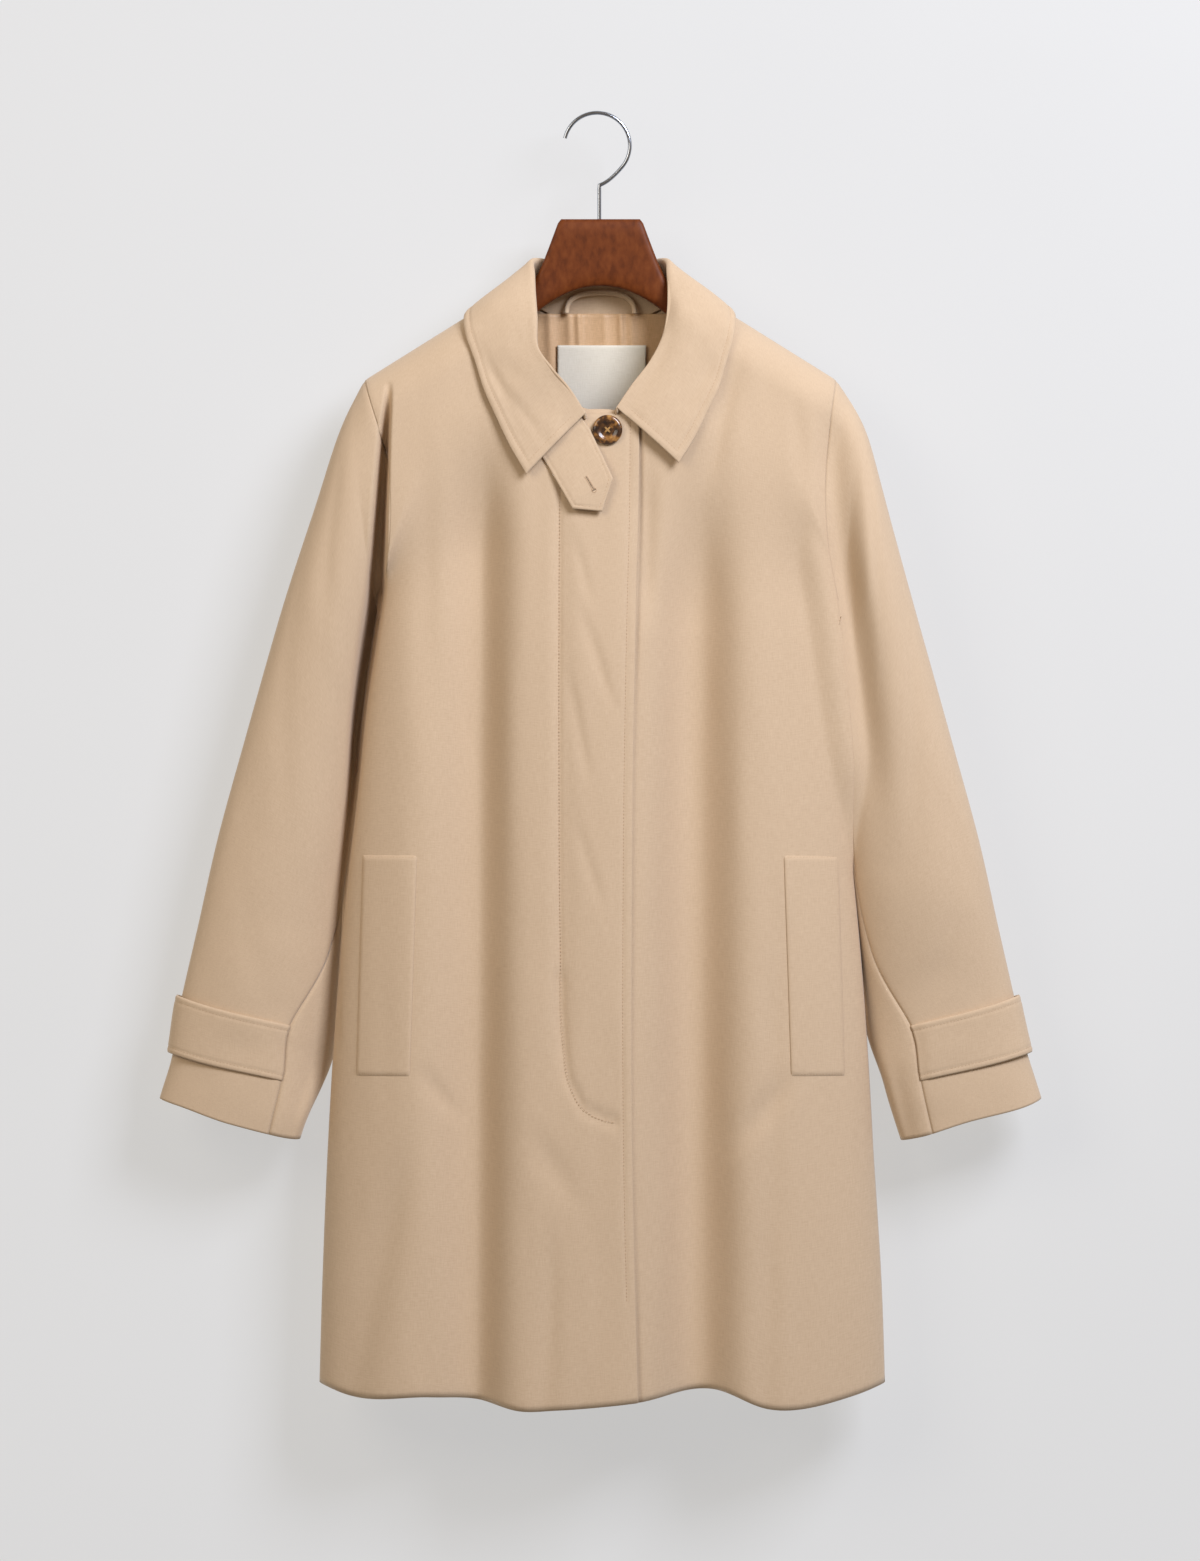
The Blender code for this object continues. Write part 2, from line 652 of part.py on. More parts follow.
def make_sleeves(parts):
    """Two-piece sleeves, open at the cuff, each with a strap round its outer side."""
    last = len(SLEEVE_ROWS) - 1
    places = [0.0]
    places += [SLEEVE_FIRST + (last - SLEEVE_FIRST) * i / SLEEVE_SPANS for i in range(SLEEVE_SPANS + 1)]
    outer, normal = sleeve_wall(places)
    last_top = 2 * SLEEVE_SEAM_STEP
    top = list(range(last_top + 1))
    under = list(range(last_top, last_top + UNDER_SLEEVE_SPANS)) + [0]
    for sign, wearer in ((-1, "right"), (1, "left")):
        side = np.array((sign, 1, 1))
        for piece, columns in (("top", top), ("under", under)):
            walls = [outer[:, columns] * side, (outer - normal * WALL)[:, columns] * side]
            walls = [pulled_in(grid, ("top", "left", "right"), SEAM / 2) for grid in walls]
            cloth_wall(f"sleeve_{wearer}_{piece}", *walls, "gabardine", parts)
        make_cuff_strap(side, wearer, parts)


def make_cuff_strap(side, wearer, parts):
    """The strap on a cuff, from the points of the top sleeve moved out."""
    columns = list(range(2 * SLEEVE_SEAM_STEP + 1))
    places = [STRAP_START + (STRAP_END - STRAP_START) * k / 3 for k in range(4)]
    outer, normal = sleeve_wall(places)
    loose = [STRAP_STAND_OFF * math.cos(math.pi / 2 * step / SLEEVE_SEAM_STEP)
             for step in range(-SLEEVE_SEAM_STEP, SLEEVE_SEAM_STEP + 1)]
    lift = np.array(loose)[None, :, None] + STRAP_SEAT
    walls = [(outer[:, columns] + normal[:, columns] * (lift + layer)) * side for layer in (STRAP_WALL, 0.0)]
    cloth_wall(f"cuff_strap_{wearer}", *walls, "gabardine", parts)


def neckline():
    """Points just inside the left half of the neckline, from the centre back over the shoulder to the front."""
    points = []
    for x in BACK_NECK_XS[:-1]:
        z = back_neck_z(x)
        slope = (back_neck_z(x + 1.0) - z) if x > 0 else 0.0
        points.append(np.array((x, body_y(x, z, 1), z)) + STAND_FOOT * unit((-slope, 0.0, 1.0)))
    points.append(np.array((NECK_POINT_X, 0.0, NECK_POINT_Z)) + STAND_FOOT * unit((-0.8, 0.0, 0.6)))
    for x in neck_columns(-1, LAP)[-2:3:-1]:
        z = front_neck_z(x)
        inward = unit((FRONT_NECK_FLAT - x, 0.0, NECK_POINT_Z - z))
        points.append(np.array((x, body_y(x, z, -1), z)) + STAND_FOOT * inward)
    return np.array(points)


def both_sides(rows):
    """A list of points from the centre back, with its mirror image before it."""
    mirrored = rows[:0:-1] * (-1, 1, 1)
    return np.concatenate((mirrored, rows))


def clear_of_body(point, lift):
    """A point that lies over the body, moved out until it is a lift away from the cloth."""
    point = np.array(point, float)
    step = 0.5
    face = -1 if point[1] < 0 else 1
    for _ in range(8):
        x, y, z = point
        over = z - shoulder_z(x)
        if over >= 0:
            point[2] += max(0.0, lift - over) if abs(y) < SHOULDER_ROUND / 2 else 0.0
            break
        gap = face * (y - body_y(x, z, face))
        slope_x = face * (body_y(x + step, z, face) - body_y(x - step, z, face)) / (2 * step)
        slope_z = face * (body_y(x, z + step, face) - body_y(x, z - step, face)) / (2 * step)
        way = np.array((-slope_x, face, -slope_z))
        steep = np.linalg.norm(way)
        short = lift - gap / steep
        if short <= 0:
            break
        point += way / steep * short
    return point


def fall_point(fold, edge, sag, t):
    """A point of the collar's fall: t runs from the fold to the outer edge."""
    middle = fold + (edge - fold) * (0.5, 0.55, sag) + (0, 0, COLLAR_ROLL * (1.0 - 2.0 * sag))
    point = fold * (1 - t) ** 2 + middle * 2 * t * (1 - t) + edge * t * t
    return clear_of_body(point, COLLAR_LIFT * ease(t / 0.4)) if t > 0.1 else point


def make_collar(parts):
    """The collar: a stand on the neckline, and a fall that turns down over it."""
    rows = COLLAR_BACK_ROWS + (COLLAR_SHOULDER_ROW,) + COLLAR_FRONT_ROWS
    folds = np.array([row[:3] for row in rows])
    edges = []
    for k, (_, _, _, edge_x, edge_z, _) in enumerate(rows):
        face = 1.0 if k < len(COLLAR_BACK_ROWS) else -1.0
        edges.append(clear_of_body((edge_x, face, edge_z), COLLAR_LIFT))
    radial = folds * (1, 1, 0)
    radial = radial / np.linalg.norm(radial, axis=1, keepdims=True)
    starts = folds - radial * COLLAR_WALL + (0, 0, COLLAR_SEAT)
    under = []
    for k in range(FALL_STEPS + 1):
        t = k / FALL_STEPS
        line = np.array([fall_point(start, edge, row[-1], t) for start, edge, row in zip(starts, edges, rows)])
        under.append(both_sides(line))
    under = np.array(under)
    normal = grid_normals(under)
    if normal[FALL_STEPS // 2, under.shape[1] // 2, 1] < 0:
        normal = -normal
    cloth_wall("collar_fall", under + normal * COLLAR_WALL, under, "gabardine", parts)

    feet = neckline() + (0, 0, STAND_FOOT)
    tops = np.array([fold + STAND_SHORT * unit(foot - fold) for fold, foot in zip(folds, feet)])
    tops -= radial[:len(feet)] * STAND_INSIDE
    outer = np.array([both_sides(feet + (tops - feet) * k / STAND_STEPS) for k in range(STAND_STEPS + 1)])
    normal = grid_normals(outer)
    if normal[1, outer.shape[1] // 2, 1] < 0:
        normal = -normal
    cloth_wall("collar_stand", outer, outer - normal * WALL, "gabardine", parts)


def make_throat_tab(parts):
    """The tab that closes the throat, lying open on the right front."""
    walls = []
    for layer in (TAB_WALL, 0.0):
        grid = []
        for left_x, left_z, right_x, right_z, lift in TAB_ROWS:
            row = []
            for k in range(TAB_STEPS + 1):
                x = left_x + (right_x - left_x) * k / TAB_STEPS
                z = left_z + (right_z - left_z) * k / TAB_STEPS
                row.append((x, body_y(x, z, -1) - lift - layer, z))
            grid.append(row)
        walls.append(grid)
    cloth_wall("throat_tab", walls[0], walls[1], "gabardine", parts)


def make_pocket_welts(parts):
    """Upright welts over the side pockets, from the points of the fronts moved out."""
    across, down = WELT_STEPS
    for sign, wearer in ((-1, "right"), (1, "left")):
        walls = []
        for layer in (SEAM + WELT_WALL, SEAM):
            grid = []
            for i in range(down + 1):
                top = np.array(WELT_TOP)
                inner_x, outer_x, z = top + (np.array(WELT_BOTTOM) - top) * i / down
                row = []
                for j in range(across + 1):
                    x = sign * (inner_x + (outer_x - inner_x) * j / across)
                    row.append((x + sign * 0.5 * layer, body_y(x, z, -1) - layer, z))
                grid.append(row)
            walls.append(grid)
        cloth_wall(f"pocket_welt_{wearer}", walls[0], walls[1], "gabardine", parts)


def apply_cut(target, cutter):
    """Cut one object with another that is kept as a guide."""
    cut = target.modifiers.new("cut", "BOOLEAN")
    cut.operation = "DIFFERENCE"
    cut.object = cutter
    cutter.hide_render = True
    cutter.display_type = "WIRE"


def make_button(parts, cutters):
    """A dished horn button with four holes, turned about its own axis."""
    profile = (
        (0.0, BUTTON_THICK - BUTTON_DISH),
        (BUTTON_DISH_R - 1.2, BUTTON_THICK - BUTTON_DISH),
        (BUTTON_DISH_R, BUTTON_THICK - 0.3),
        (BUTTON_DISH_R + 1.4, BUTTON_THICK),
        (BUTTON_R - 0.6, BUTTON_THICK - 0.9),
        (BUTTON_R, BUTTON_THICK / 2),
        (BUTTON_R - 1.6, 0.0),
        (0.0, 0.0),
    )
    bm = bmesh.new()
    line = [bm.verts.new((r, 0.0, h)) for r, h in profile]
    edges = [bm.edges.new(pair) for pair in zip(line, line[1:])]
    bmesh.ops.spin(bm, geom=line + edges, cent=(0, 0, 0), axis=(0, 0, 1), angle=2 * math.pi,
                   steps=28, use_merge=True)
    bmesh.ops.remove_doubles(bm, verts=bm.verts, dist=0.001)
    spread = [BUTTON_R * k / 2 for k in (-2, -1, 0, 1, 2)]
    seat = min(body_y(BUTTON_X + a, BUTTON_Z + b, -1) for a in spread for b in spread) - SEAM
    place = (CENTRE_X + BUTTON_X, seat, BUTTON_Z)
    bmesh.ops.rotate(bm, verts=bm.verts, cent=(0, 0, 0), matrix=TO_FRONT)
    bmesh.ops.translate(bm, verts=bm.verts, vec=place)
    button = finish_mesh("throat_button", bm, "horn", parts)
    bm = bmesh.new()
    half = BUTTON_HOLE_PITCH / 2
    for side in (-half, half):
        for level in (-half, half):
            made = bmesh.ops.create_cone(bm, cap_ends=True, segments=10, radius1=BUTTON_HOLE_R,
                                         radius2=BUTTON_HOLE_R, depth=4 * BUTTON_THICK)
            bmesh.ops.rotate(bm, verts=made["verts"], cent=(0, 0, 0), matrix=TO_FRONT)
            bmesh.ops.translate(bm, verts=made["verts"], vec=np.add(place, (side, 0, level)))
    apply_cut(button, finish_mesh("button_holes", bm, "horn", cutters))


def pleat_depth(x):
    """How far the lining's small pleats stand in at a distance from the centre."""
    return sum(depth * math.exp(-((x - at) / width) ** 2) for at, width, depth in PLEATS)


def inside_back(x, z, inset):
    """A point inside the back, a distance in from the coat's outer surface."""
    return x, body_y(x, z, 1, inset), z


def make_lining(parts):
    """The lining that shows inside the back neck, pleated at the centre."""
    columns = 36
    walls = []
    for layer in (0.0, LINING_WALL):
        grid = []
        for i in range(6):
            z = LINING_TOP_Z + (LINING_BOTTOM_Z - LINING_TOP_Z) * i / 5
            row = []
            for j in range(columns + 1):
                x = LINING_HALF_WIDTH * (2 * j / columns - 1)
                x, y, z = inside_back(x, z, WALL + LINING_INSET + layer)
                row.append((x, y - pleat_depth(x), z))
            grid.append(row)
        walls.append(grid)
    cloth_wall("neck_lining", walls[0], walls[1], "lining_satin", parts)


def make_label(parts):
    """A plain woven label sewn on the lining."""
    stand_off = WALL + LINING_INSET + LINING_WALL + SEAM + max(column(PLEATS, PLEAT_COLUMNS, "depth"))
    walls = []
    for layer in (0.0, LABEL_WALL):
        grid = []
        for i in range(5):
            z = LABEL_TOP_Z + (LABEL_BOTTOM_Z - LABEL_TOP_Z) * i / 4
            xs = [LABEL_LEFT + (LABEL_RIGHT - LABEL_LEFT) * j / 6 for j in range(7)]
            grid.append([inside_back(x, z, stand_off + layer) for x in xs])
        walls.append(grid)
    cloth_wall("neck_label", walls[0], walls[1], "label_cloth", parts)


def tube(name, points, radius, look, parts):
    """A round rod along a line of points."""
    curve = bpy.data.curves.new(name, "CURVE")
    curve.dimensions = "3D"
    curve.bevel_depth = radius * 0.001
    curve.bevel_resolution = 2
    curve.use_fill_caps = True
    spline = curve.splines.new("POLY")
    spline.points.add(len(points) - 1)
    for target, point in zip(spline.points, points):
        target.co = (*(c * 0.001 for c in point), 1.0)
    curve.materials.append(material(look))
    obj = bpy.data.objects.new(name, curve)
    parts.objects.link(obj)
    return obj


def make_loop(parts):
    """The hanging loop sewn into the back neck seam."""
    points = []
    for k in range(17):
        angle = math.pi * k / 16
        x = -LOOP_HALF_WIDTH * math.copysign(abs(math.cos(angle)) ** 0.5, math.cos(angle))
        z = LOOP_FOOT_Z + (LOOP_TOP_Z - LOOP_FOOT_Z) * math.sin(angle) ** 0.5
        points.append((CENTRE_X + x, LOOP_Y, z))
    tube("hanging_loop", points, LOOP_R, "gabardine", parts)


def hanger_levels(x):
    """Top and bottom of the hanger at a distance from its middle."""
    under = (WALL + HANGER_SEAT) * 1.2
    x = abs(x)
    dip = HANGER_DIP * math.exp(-((x - HANGER_DIP_X) / HANGER_DIP_WIDTH) ** 2)
    arm = shoulder_z(x) - under - dip
    rise = ease((HANGER_NECK_X - x) / (HANGER_NECK_X - HANGER_TOP_HALF))
    top = arm + (HANGER_TOP_Z - arm) * rise
    if x <= HANGER_TOP_HALF:
        top = HANGER_TOP_Z
    thin = ease((x - HANGER_NECK_X) / (HANGER_ARM_END_X - HANGER_NECK_X))
    low = arm - HANGER_ARM_DEPTH + (HANGER_ARM_DEPTH - HANGER_ARM_END_DEPTH) * thin
    if x < HANGER_NECK_X:
        foot = hanger_levels(HANGER_NECK_X)[1]
        low = foot + (HANGER_ARCH_Z - foot) * math.sqrt(1 - (x / HANGER_NECK_X) ** 2)
    return top, low


def make_hanger(parts, cutters):
    """The wooden hanger: rounded sections from arm to arm over a tall middle, bored for its hook."""
    places = [0.0, 12.0, 24.0, 33.0, HANGER_TOP_HALF, 38.0, 42.0, 46.0, 50.0, HANGER_NECK_X]
    places += [63.0, 70.0, 77.0, 86.0, 100.0, 120.0, 145.0, 165.0, 178.0, HANGER_ARM_END_X, HANGER_ARM_END_X + 4.0]
    places = [-x for x in places[:0:-1]] + places
    bm = bmesh.new()
    rings = []
    for x in places:
        top, low = hanger_levels(min(abs(x), HANGER_ARM_END_X))
        shrink = 1.0 if abs(x) <= HANGER_ARM_END_X else 0.55
        middle = (top + low) / 2
        ring = []
        for k in range(HANGER_SIDES):
            angle = 2 * math.pi * (k + 0.5) / HANGER_SIDES
            flat = (abs(math.cos(angle)) ** HANGER_SQUARE + abs(math.sin(angle)) ** HANGER_SQUARE)
            reach = shrink * flat ** (-1 / HANGER_SQUARE)
            y = HANGER_THICK / 2 * reach * math.cos(angle)
            z = middle + (top - low) / 2 * reach * math.sin(angle)
            ring.append(bm.verts.new((CENTRE_X + x, y, z)))
        rings.append(ring)
    for ring, after in zip(rings, rings[1:]):
        for k in range(HANGER_SIDES):
            j = (k + 1) % HANGER_SIDES
            bm.faces.new((ring[k], ring[j], after[j], after[k]))
    bm.faces.new(rings[0])
    bm.faces.new(rings[-1])
    wood = finish_mesh("hanger_wood", bm, "wood", parts)
    bm = bmesh.new()
    bmesh.ops.create_cone(bm, cap_ends=True, segments=16, radius1=HOOK_WIRE_R + SEAM,
                          radius2=HOOK_WIRE_R + SEAM, depth=2 * (HOOK_SCREW_DEPTH + SEAM))
    bmesh.ops.translate(bm, verts=bm.verts, vec=(HOOK_STEM_X, 0, HANGER_TOP_Z))
    apply_cut(wood, finish_mesh("hook_bore", bm, "wood", cutters))


def make_hook(parts):
    """The wire hook: a round bend over the hang point, a sweep back to the middle and a straight stem."""
    centre_z = HOOK_WIRE_R - HOOK_BEND_R
    points = []
    turns = 22
    for k in range(turns + 1):
        angle = math.radians(HOOK_TIP_DEG + (HOOK_TURN_DEG - HOOK_TIP_DEG) * k / turns)
        points.append((HOOK_BEND_R * math.cos(angle), 0.0, centre_z + HOOK_BEND_R * math.sin(angle)))
    leave = np.array(points[-1])
    tangent = np.array((-math.sin(math.radians(-HOOK_TURN_DEG)), 0.0,
                        -math.cos(math.radians(-HOOK_TURN_DEG))))
    kink = np.array((HOOK_STEM_X, 0.0, HOOK_KINK_Z))
    bend = leave + tangent * 17.0
    for k in range(1, 7):
        t = k / 6
        points.append(tuple(leave * (1 - t) ** 2 + bend * 2 * t * (1 - t) + kink * t * t))
    points.append((HOOK_STEM_X, 0.0, HOOK_KINK_Z - 4.0))
    points.append((HOOK_STEM_X, 0.0, HANGER_TOP_Z - HOOK_SCREW_DEPTH))
    tube("hanger_hook", points, HOOK_WIRE_R, "chrome", parts)


def main():
    """Build every piece of the coat and its hanger."""
    clear_scene()
    parts = collection("car_coat")
    cutters = collection("cutters")
    make_fronts(parts)
    make_back(parts)
    make_sleeves(parts)
    make_collar(parts)
    make_throat_tab(parts)
    make_pocket_welts(parts)
    make_button(parts, cutters)
    make_lining(parts)
    make_label(parts)
    make_loop(parts)
    make_hanger(parts, cutters)
    make_hook(parts)


main()
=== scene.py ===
# %% [markdown]
# A car coat of tan gabardine hangs on a wooden hanger. The solids of the coat are already there as a
# fixed frame: every panel of cloth, the collar, the tab, the button and the hanger. This lesson dresses
# that frame: each solid of cloth is stood for by a thin, finely divided shell of the same form, with the
# creases, seams and stitches that a solid is too coarse to hold.

# %% Load the frame
import math

import bmesh
import bpy
import numpy as np
from mathutils import Matrix, Vector


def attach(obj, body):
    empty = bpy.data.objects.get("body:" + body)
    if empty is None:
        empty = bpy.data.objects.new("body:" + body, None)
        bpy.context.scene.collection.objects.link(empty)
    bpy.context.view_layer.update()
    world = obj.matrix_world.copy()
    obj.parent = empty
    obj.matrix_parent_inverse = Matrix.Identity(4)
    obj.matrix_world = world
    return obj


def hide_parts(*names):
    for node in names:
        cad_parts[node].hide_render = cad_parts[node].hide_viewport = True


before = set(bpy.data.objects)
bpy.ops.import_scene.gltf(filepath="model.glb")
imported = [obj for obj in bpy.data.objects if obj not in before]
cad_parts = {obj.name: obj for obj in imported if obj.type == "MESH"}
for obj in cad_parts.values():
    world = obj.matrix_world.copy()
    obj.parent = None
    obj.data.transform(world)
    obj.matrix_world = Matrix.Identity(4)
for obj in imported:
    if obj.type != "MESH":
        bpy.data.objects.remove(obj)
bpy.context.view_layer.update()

# %% [markdown]
# Cloth is easiest to think of in millimetres, measured from the coat's own centre line, as a cutter does.
# One number turns them into Blender's metres at the very end, and another moves the centre line to
# where the coat hangs, a little to the right of the hook. Points are worked out for whole panels at once
# with numpy, because a panel has tens of thousands of them.

# %% Sizes and smooth curves
MM = 0.001
CENTRE_X = 3.0
WALL = 1.6
NOISE_CELLS = 67


def smooth_curve(keys, values, at):
    """A smooth curve through values at rising keys, read at many places."""
    keys = np.asarray(keys, float)
    values = np.asarray(values, float)
    slopes = np.gradient(values, keys)
    at = np.clip(at, keys[0], keys[-1])
    i = np.clip(np.searchsorted(keys, at, side="right") - 1, 0, len(keys) - 2)
    span = keys[i + 1] - keys[i]
    t = (at - keys[i]) / span
    rise = values[i + 1] - values[i]
    start = slopes[i] * span
    end = slopes[i + 1] * span
    return values[i] + t * (start + t * (3 * rise - 2 * start - end + t * (start + end - 2 * rise)))


def table_curve(rows, at, key, value):
    """A smooth curve through two columns of a table."""
    return smooth_curve([row[key] for row in rows], [row[value] for row in rows], at)


def ease(t):
    """A smooth step from 0 to 1."""
    t = np.clip(t, 0.0, 1.0)
    return t * t * (3 - 2 * t)


def bell(distance, width):
    """A soft bump, 1 at its middle."""
    return np.exp(-((distance / width) ** 2))


def soft_noise(a, b, cell_a, cell_b, seed):
    """Smooth unevenness between -1 and 1, with cells of a given size."""
    lattice = np.random.default_rng(seed).uniform(-1, 1, (NOISE_CELLS, NOISE_CELLS))
    a = np.asarray(a) / cell_a
    b = np.asarray(b) / cell_b
    i = np.floor(a).astype(int)
    j = np.floor(b).astype(int)
    s = ease(a - i)
    t = ease(b - j)
    i, j, k, m = (place % NOISE_CELLS for place in (i, j, i + 1, j + 1))
    near = lattice[i, j] * (1 - s) + lattice[k, j] * s
    far = lattice[i, m] * (1 - s) + lattice[k, m] * s
    return near * (1 - t) + far * t


print("cloth wall", WALL, "mm")

# %% [markdown]
# The body of the coat is one surface seen from the front: at each place across and down there is one
# depth to the front and one to the back. It is flat across the middle, turns round at the sides, and
# rounds over at the shoulders. The folds that hang in it are soft troughs, each a row of a table.

# %% Form of the body
NECK_POINT_X, NECK_POINT_Z = 76.0, -148.0
SHOULDER_TIP_X, SHOULDER_TIP_Z = 201.0, -226.0
FRONT_NECK_Z, FRONT_NECK_FLAT, FRONT_NECK_POWER = -256.0, 10.0, 1.5
BACK_NECK_Z = -178.0
UNDERARM_Z, UNDERARM_DROP = -425.0, 15.0
SHOULDER_ROUND, SIDE_POWER, ARMHOLE_SHARE = 40.0, 2.6, 0.85
CHEST_NECK_X, CHEST_HALF = 82.0, 190.0
LAP, LAP_AT_HEM = 28.0, 31.0
BACK_HEM_DROP, BACK_HEM_WAVE, BACK_HEM_PITCH = 8.0, 5.0, 34.0

# level, half width, depth to the front, depth to the back
BODY_ROWS = (
    (-1110.0, 241.0, 67.0, 50.0),
    (-1000.0, 238.0, 64.0, 48.0),
    (-856.0, 232.0, 61.0, 46.0),
    (-700.0, 221.5, 58.0, 45.0),
    (-560.0, 207.0, 55.0, 43.0),
    (-425.0, 190.0, 51.0, 41.0),
    (-360.0, 179.0, 47.0, 39.0),
    (-300.0, 180.5, 42.0, 36.0),
    (-226.0, 201.0, 34.0, 30.0),
    (-148.0, 214.0, 27.0, 26.0),
)
# place across, level of the front hem
HEM_ROWS = (
    (-242.0, -1079.0), (-215.0, -1089.0), (-145.0, -1090.0), (-106.0, -1092.0), (-68.0, -1101.0),
    (-34.0, -1100.0), (31.0, -1094.0), (97.0, -1084.0), (144.0, -1100.0), (215.0, -1089.0),
    (242.0, -1079.0),
)
# place across and level of a trough's top, the same of its end, width of its gentle and its steep side,
# depth, fade at its ends
FRONT_FOLDS = (
    (-101.0, -250.0, -106.0, -1110.0, 34.0, 21.0, 27.0, 130.0),
    (-150.0, -250.0, -146.0, -560.0, 14.0, 12.0, 4.0, 140.0),
    (-160.0, -850.0, -218.0, -1110.0, 24.0, 16.0, 7.0, 120.0),
    (84.0, -262.0, 87.0, -1110.0, 34.0, 26.0, 29.0, 170.0),
    (66.0, -320.0, 68.0, -1110.0, 24.0, 22.0, 10.0, 260.0),
    (168.0, -255.0, 166.0, -430.0, 9.0, 9.0, 3.0, 140.0),
)
# level; how far the left front swings out to the sleeve, depth of the floor of the soft valley between the
# two, its extra dip, and how far beyond the seam its middle lies
LEFT_SWING_ROWS = (
    (-1110.0, 3.0, 0.0, 0.0, 20.0),
    (-1000.0, 2.5, 0.0, 0.0, 20.0),
    (-880.0, 0.0, 0.0, 0.0, 20.0),
    (-650.0, 0.0, 0.0, 0.0, 20.0),
    (-600.0, 4.0, 15.0, 2.0, 20.0),
    (-560.0, 9.0, 26.0, 5.0, 16.0),
    (-500.0, 12.0, 31.0, 9.0, 12.0),
    (-414.0, 14.0, 33.0, 11.0, 11.0),
    (-370.0, 14.0, 33.0, 11.0, 10.0),
    (-330.0, 13.0, 30.0, 10.0, 8.0),
    (-286.0, 10.0, 22.0, 9.0, 4.0),
    (-250.0, 3.0, 13.0, 4.0, 2.0),
    (-226.0, 0.0, 0.0, 0.0, 0.0),
    (-100.0, 0.0, 0.0, 0.0, 0.0),
)
# level; place across, depth and half width of the pleat that the right front makes along its armhole
RIGHT_PLEAT_ROWS = (
    (-1110.0, -226.0, 0.0, 5.0),
    (-800.0, -226.0, 0.0, 5.0),
    (-720.0, -225.0, 10.0, 3.6),
    (-635.0, -217.5, 28.0, 3.8),
    (-584.0, -212.0, 35.0, 4.4),
    (-499.0, -205.0, 39.0, 5.8),
    (-448.0, -198.0, 40.0, 6.6),
    (-399.0, -191.0, 40.0, 6.2),
    (-340.0, -187.0, 36.0, 5.0),
    (-300.0, -184.5, 28.0, 4.2),
    (-268.0, -182.5, 17.0, 3.4),
    (-246.0, -180.5, 7.0, 2.8),
    (-228.0, -179.5, 0.0, 2.6),
    (-100.0, -178.0, 0.0, 2.6),
)
# smaller creases and the folds of the back, in the columns of the front folds
FRONT_CREASES = (
    (40.0, -285.0, 38.0, -450.0, 12.0, 9.0, 4.2, 60.0),
    (62.0, -310.0, 70.0, -600.0, 14.0, 14.0, 1.6, 140.0),
    (-60.0, -850.0, -18.0, -940.0, 15.0, 12.0, 2.0, 45.0),
    (-156.0, -802.0, -116.0, -864.0, 11.0, 8.0, 2.2, 30.0),
    (170.0, -802.0, 108.0, -894.0, 16.0, 12.0, 3.0, 45.0),
    (-34.0, -290.0, -33.0, -850.0, 7.0, 11.0, 2.8, 90.0),
    (117.0, -200.0, 88.0, -330.0, 10.0, 9.0, 3.0, 45.0),
    (-20.0, -410.0, 18.0, -525.0, 6.0, 5.0, 1.3, 45.0),
    (-29.0, -462.0, -8.0, -580.0, 6.0, 5.0, 1.4, 45.0),
    (-24.0, -352.0, -6.0, -425.0, 5.0, 5.0, 1.0, 30.0),
    (-24.0, -590.0, 6.0, -690.0, 6.0, 5.0, 1.0, 40.0),
    (166.0, -236.0, 160.0, -340.0, 8.0, 7.0, 3.2, 45.0),
    (38.0, -700.0, 46.0, -1100.0, 12.0, 9.0, 1.8, 160.0),
    (150.0, -640.0, 140.0, -1110.0, 12.0, 10.0, 2.0, 160.0),
    (-40.0, -930.0, -46.0, -1110.0, 10.0, 8.0, 1.8, 90.0),
    (-150.0, -930.0, -146.0, -1110.0, 14.0, 12.0, 1.6, 110.0),
)
BACK_FOLDS = (
    (-128.0, -420.0, -140.0, -1110.0, 18.0, 18.0, 8.0, 140.0),
    (-30.0, -520.0, -24.0, -1110.0, 20.0, 20.0, 7.0, 140.0),
    (70.0, -460.0, 82.0, -1110.0, 18.0, 18.0, 8.0, 140.0),
    (160.0, -700.0, 172.0, -1110.0, 15.0, 15.0, 5.0, 140.0),
)
BACK_CREASES = (
    (-60.0, -260.0, -84.0, -520.0, 12.0, 10.0, 2.0, 120.0),
    (88.0, -250.0, 112.0, -560.0, 13.0, 10.0, 2.2, 120.0),
    (20.0, -640.0, 30.0, -1000.0, 12.0, 9.0, 2.0, 160.0),
    (-84.0, -700.0, -92.0, -1110.0, 12.0, 10.0, 2.4, 140.0),
)


def body_size(z, column):
    """Half width, front depth or back depth of the body at a level."""
    return table_curve(BODY_ROWS, z, 0, column)


def shoulder_z(x):
    """Level of the shoulder seam."""
    slope = (NECK_POINT_Z - SHOULDER_TIP_Z) / (SHOULDER_TIP_X - NECK_POINT_X)
    return NECK_POINT_Z - slope * (np.abs(x) - NECK_POINT_X)


def troughs(x, z, rows):
    """Depth of a table of folds at each place."""
    total = np.zeros(np.broadcast(x, z).shape)
    for x_top, z_top, x_end, z_end, gentle, steep, depth, fade in rows:
        share = (z_top - z) / (z_top - z_end)
        middle = x_top + (x_end - x_top) * share
        grow = ease((z_top - z) / fade)
        if z_end > BODY_ROWS[0][0]:
            grow = grow * ease((z - z_end) / fade)
        total = total + depth * grow * bell(x - middle, np.where(x < middle, gentle, steep))
    return total


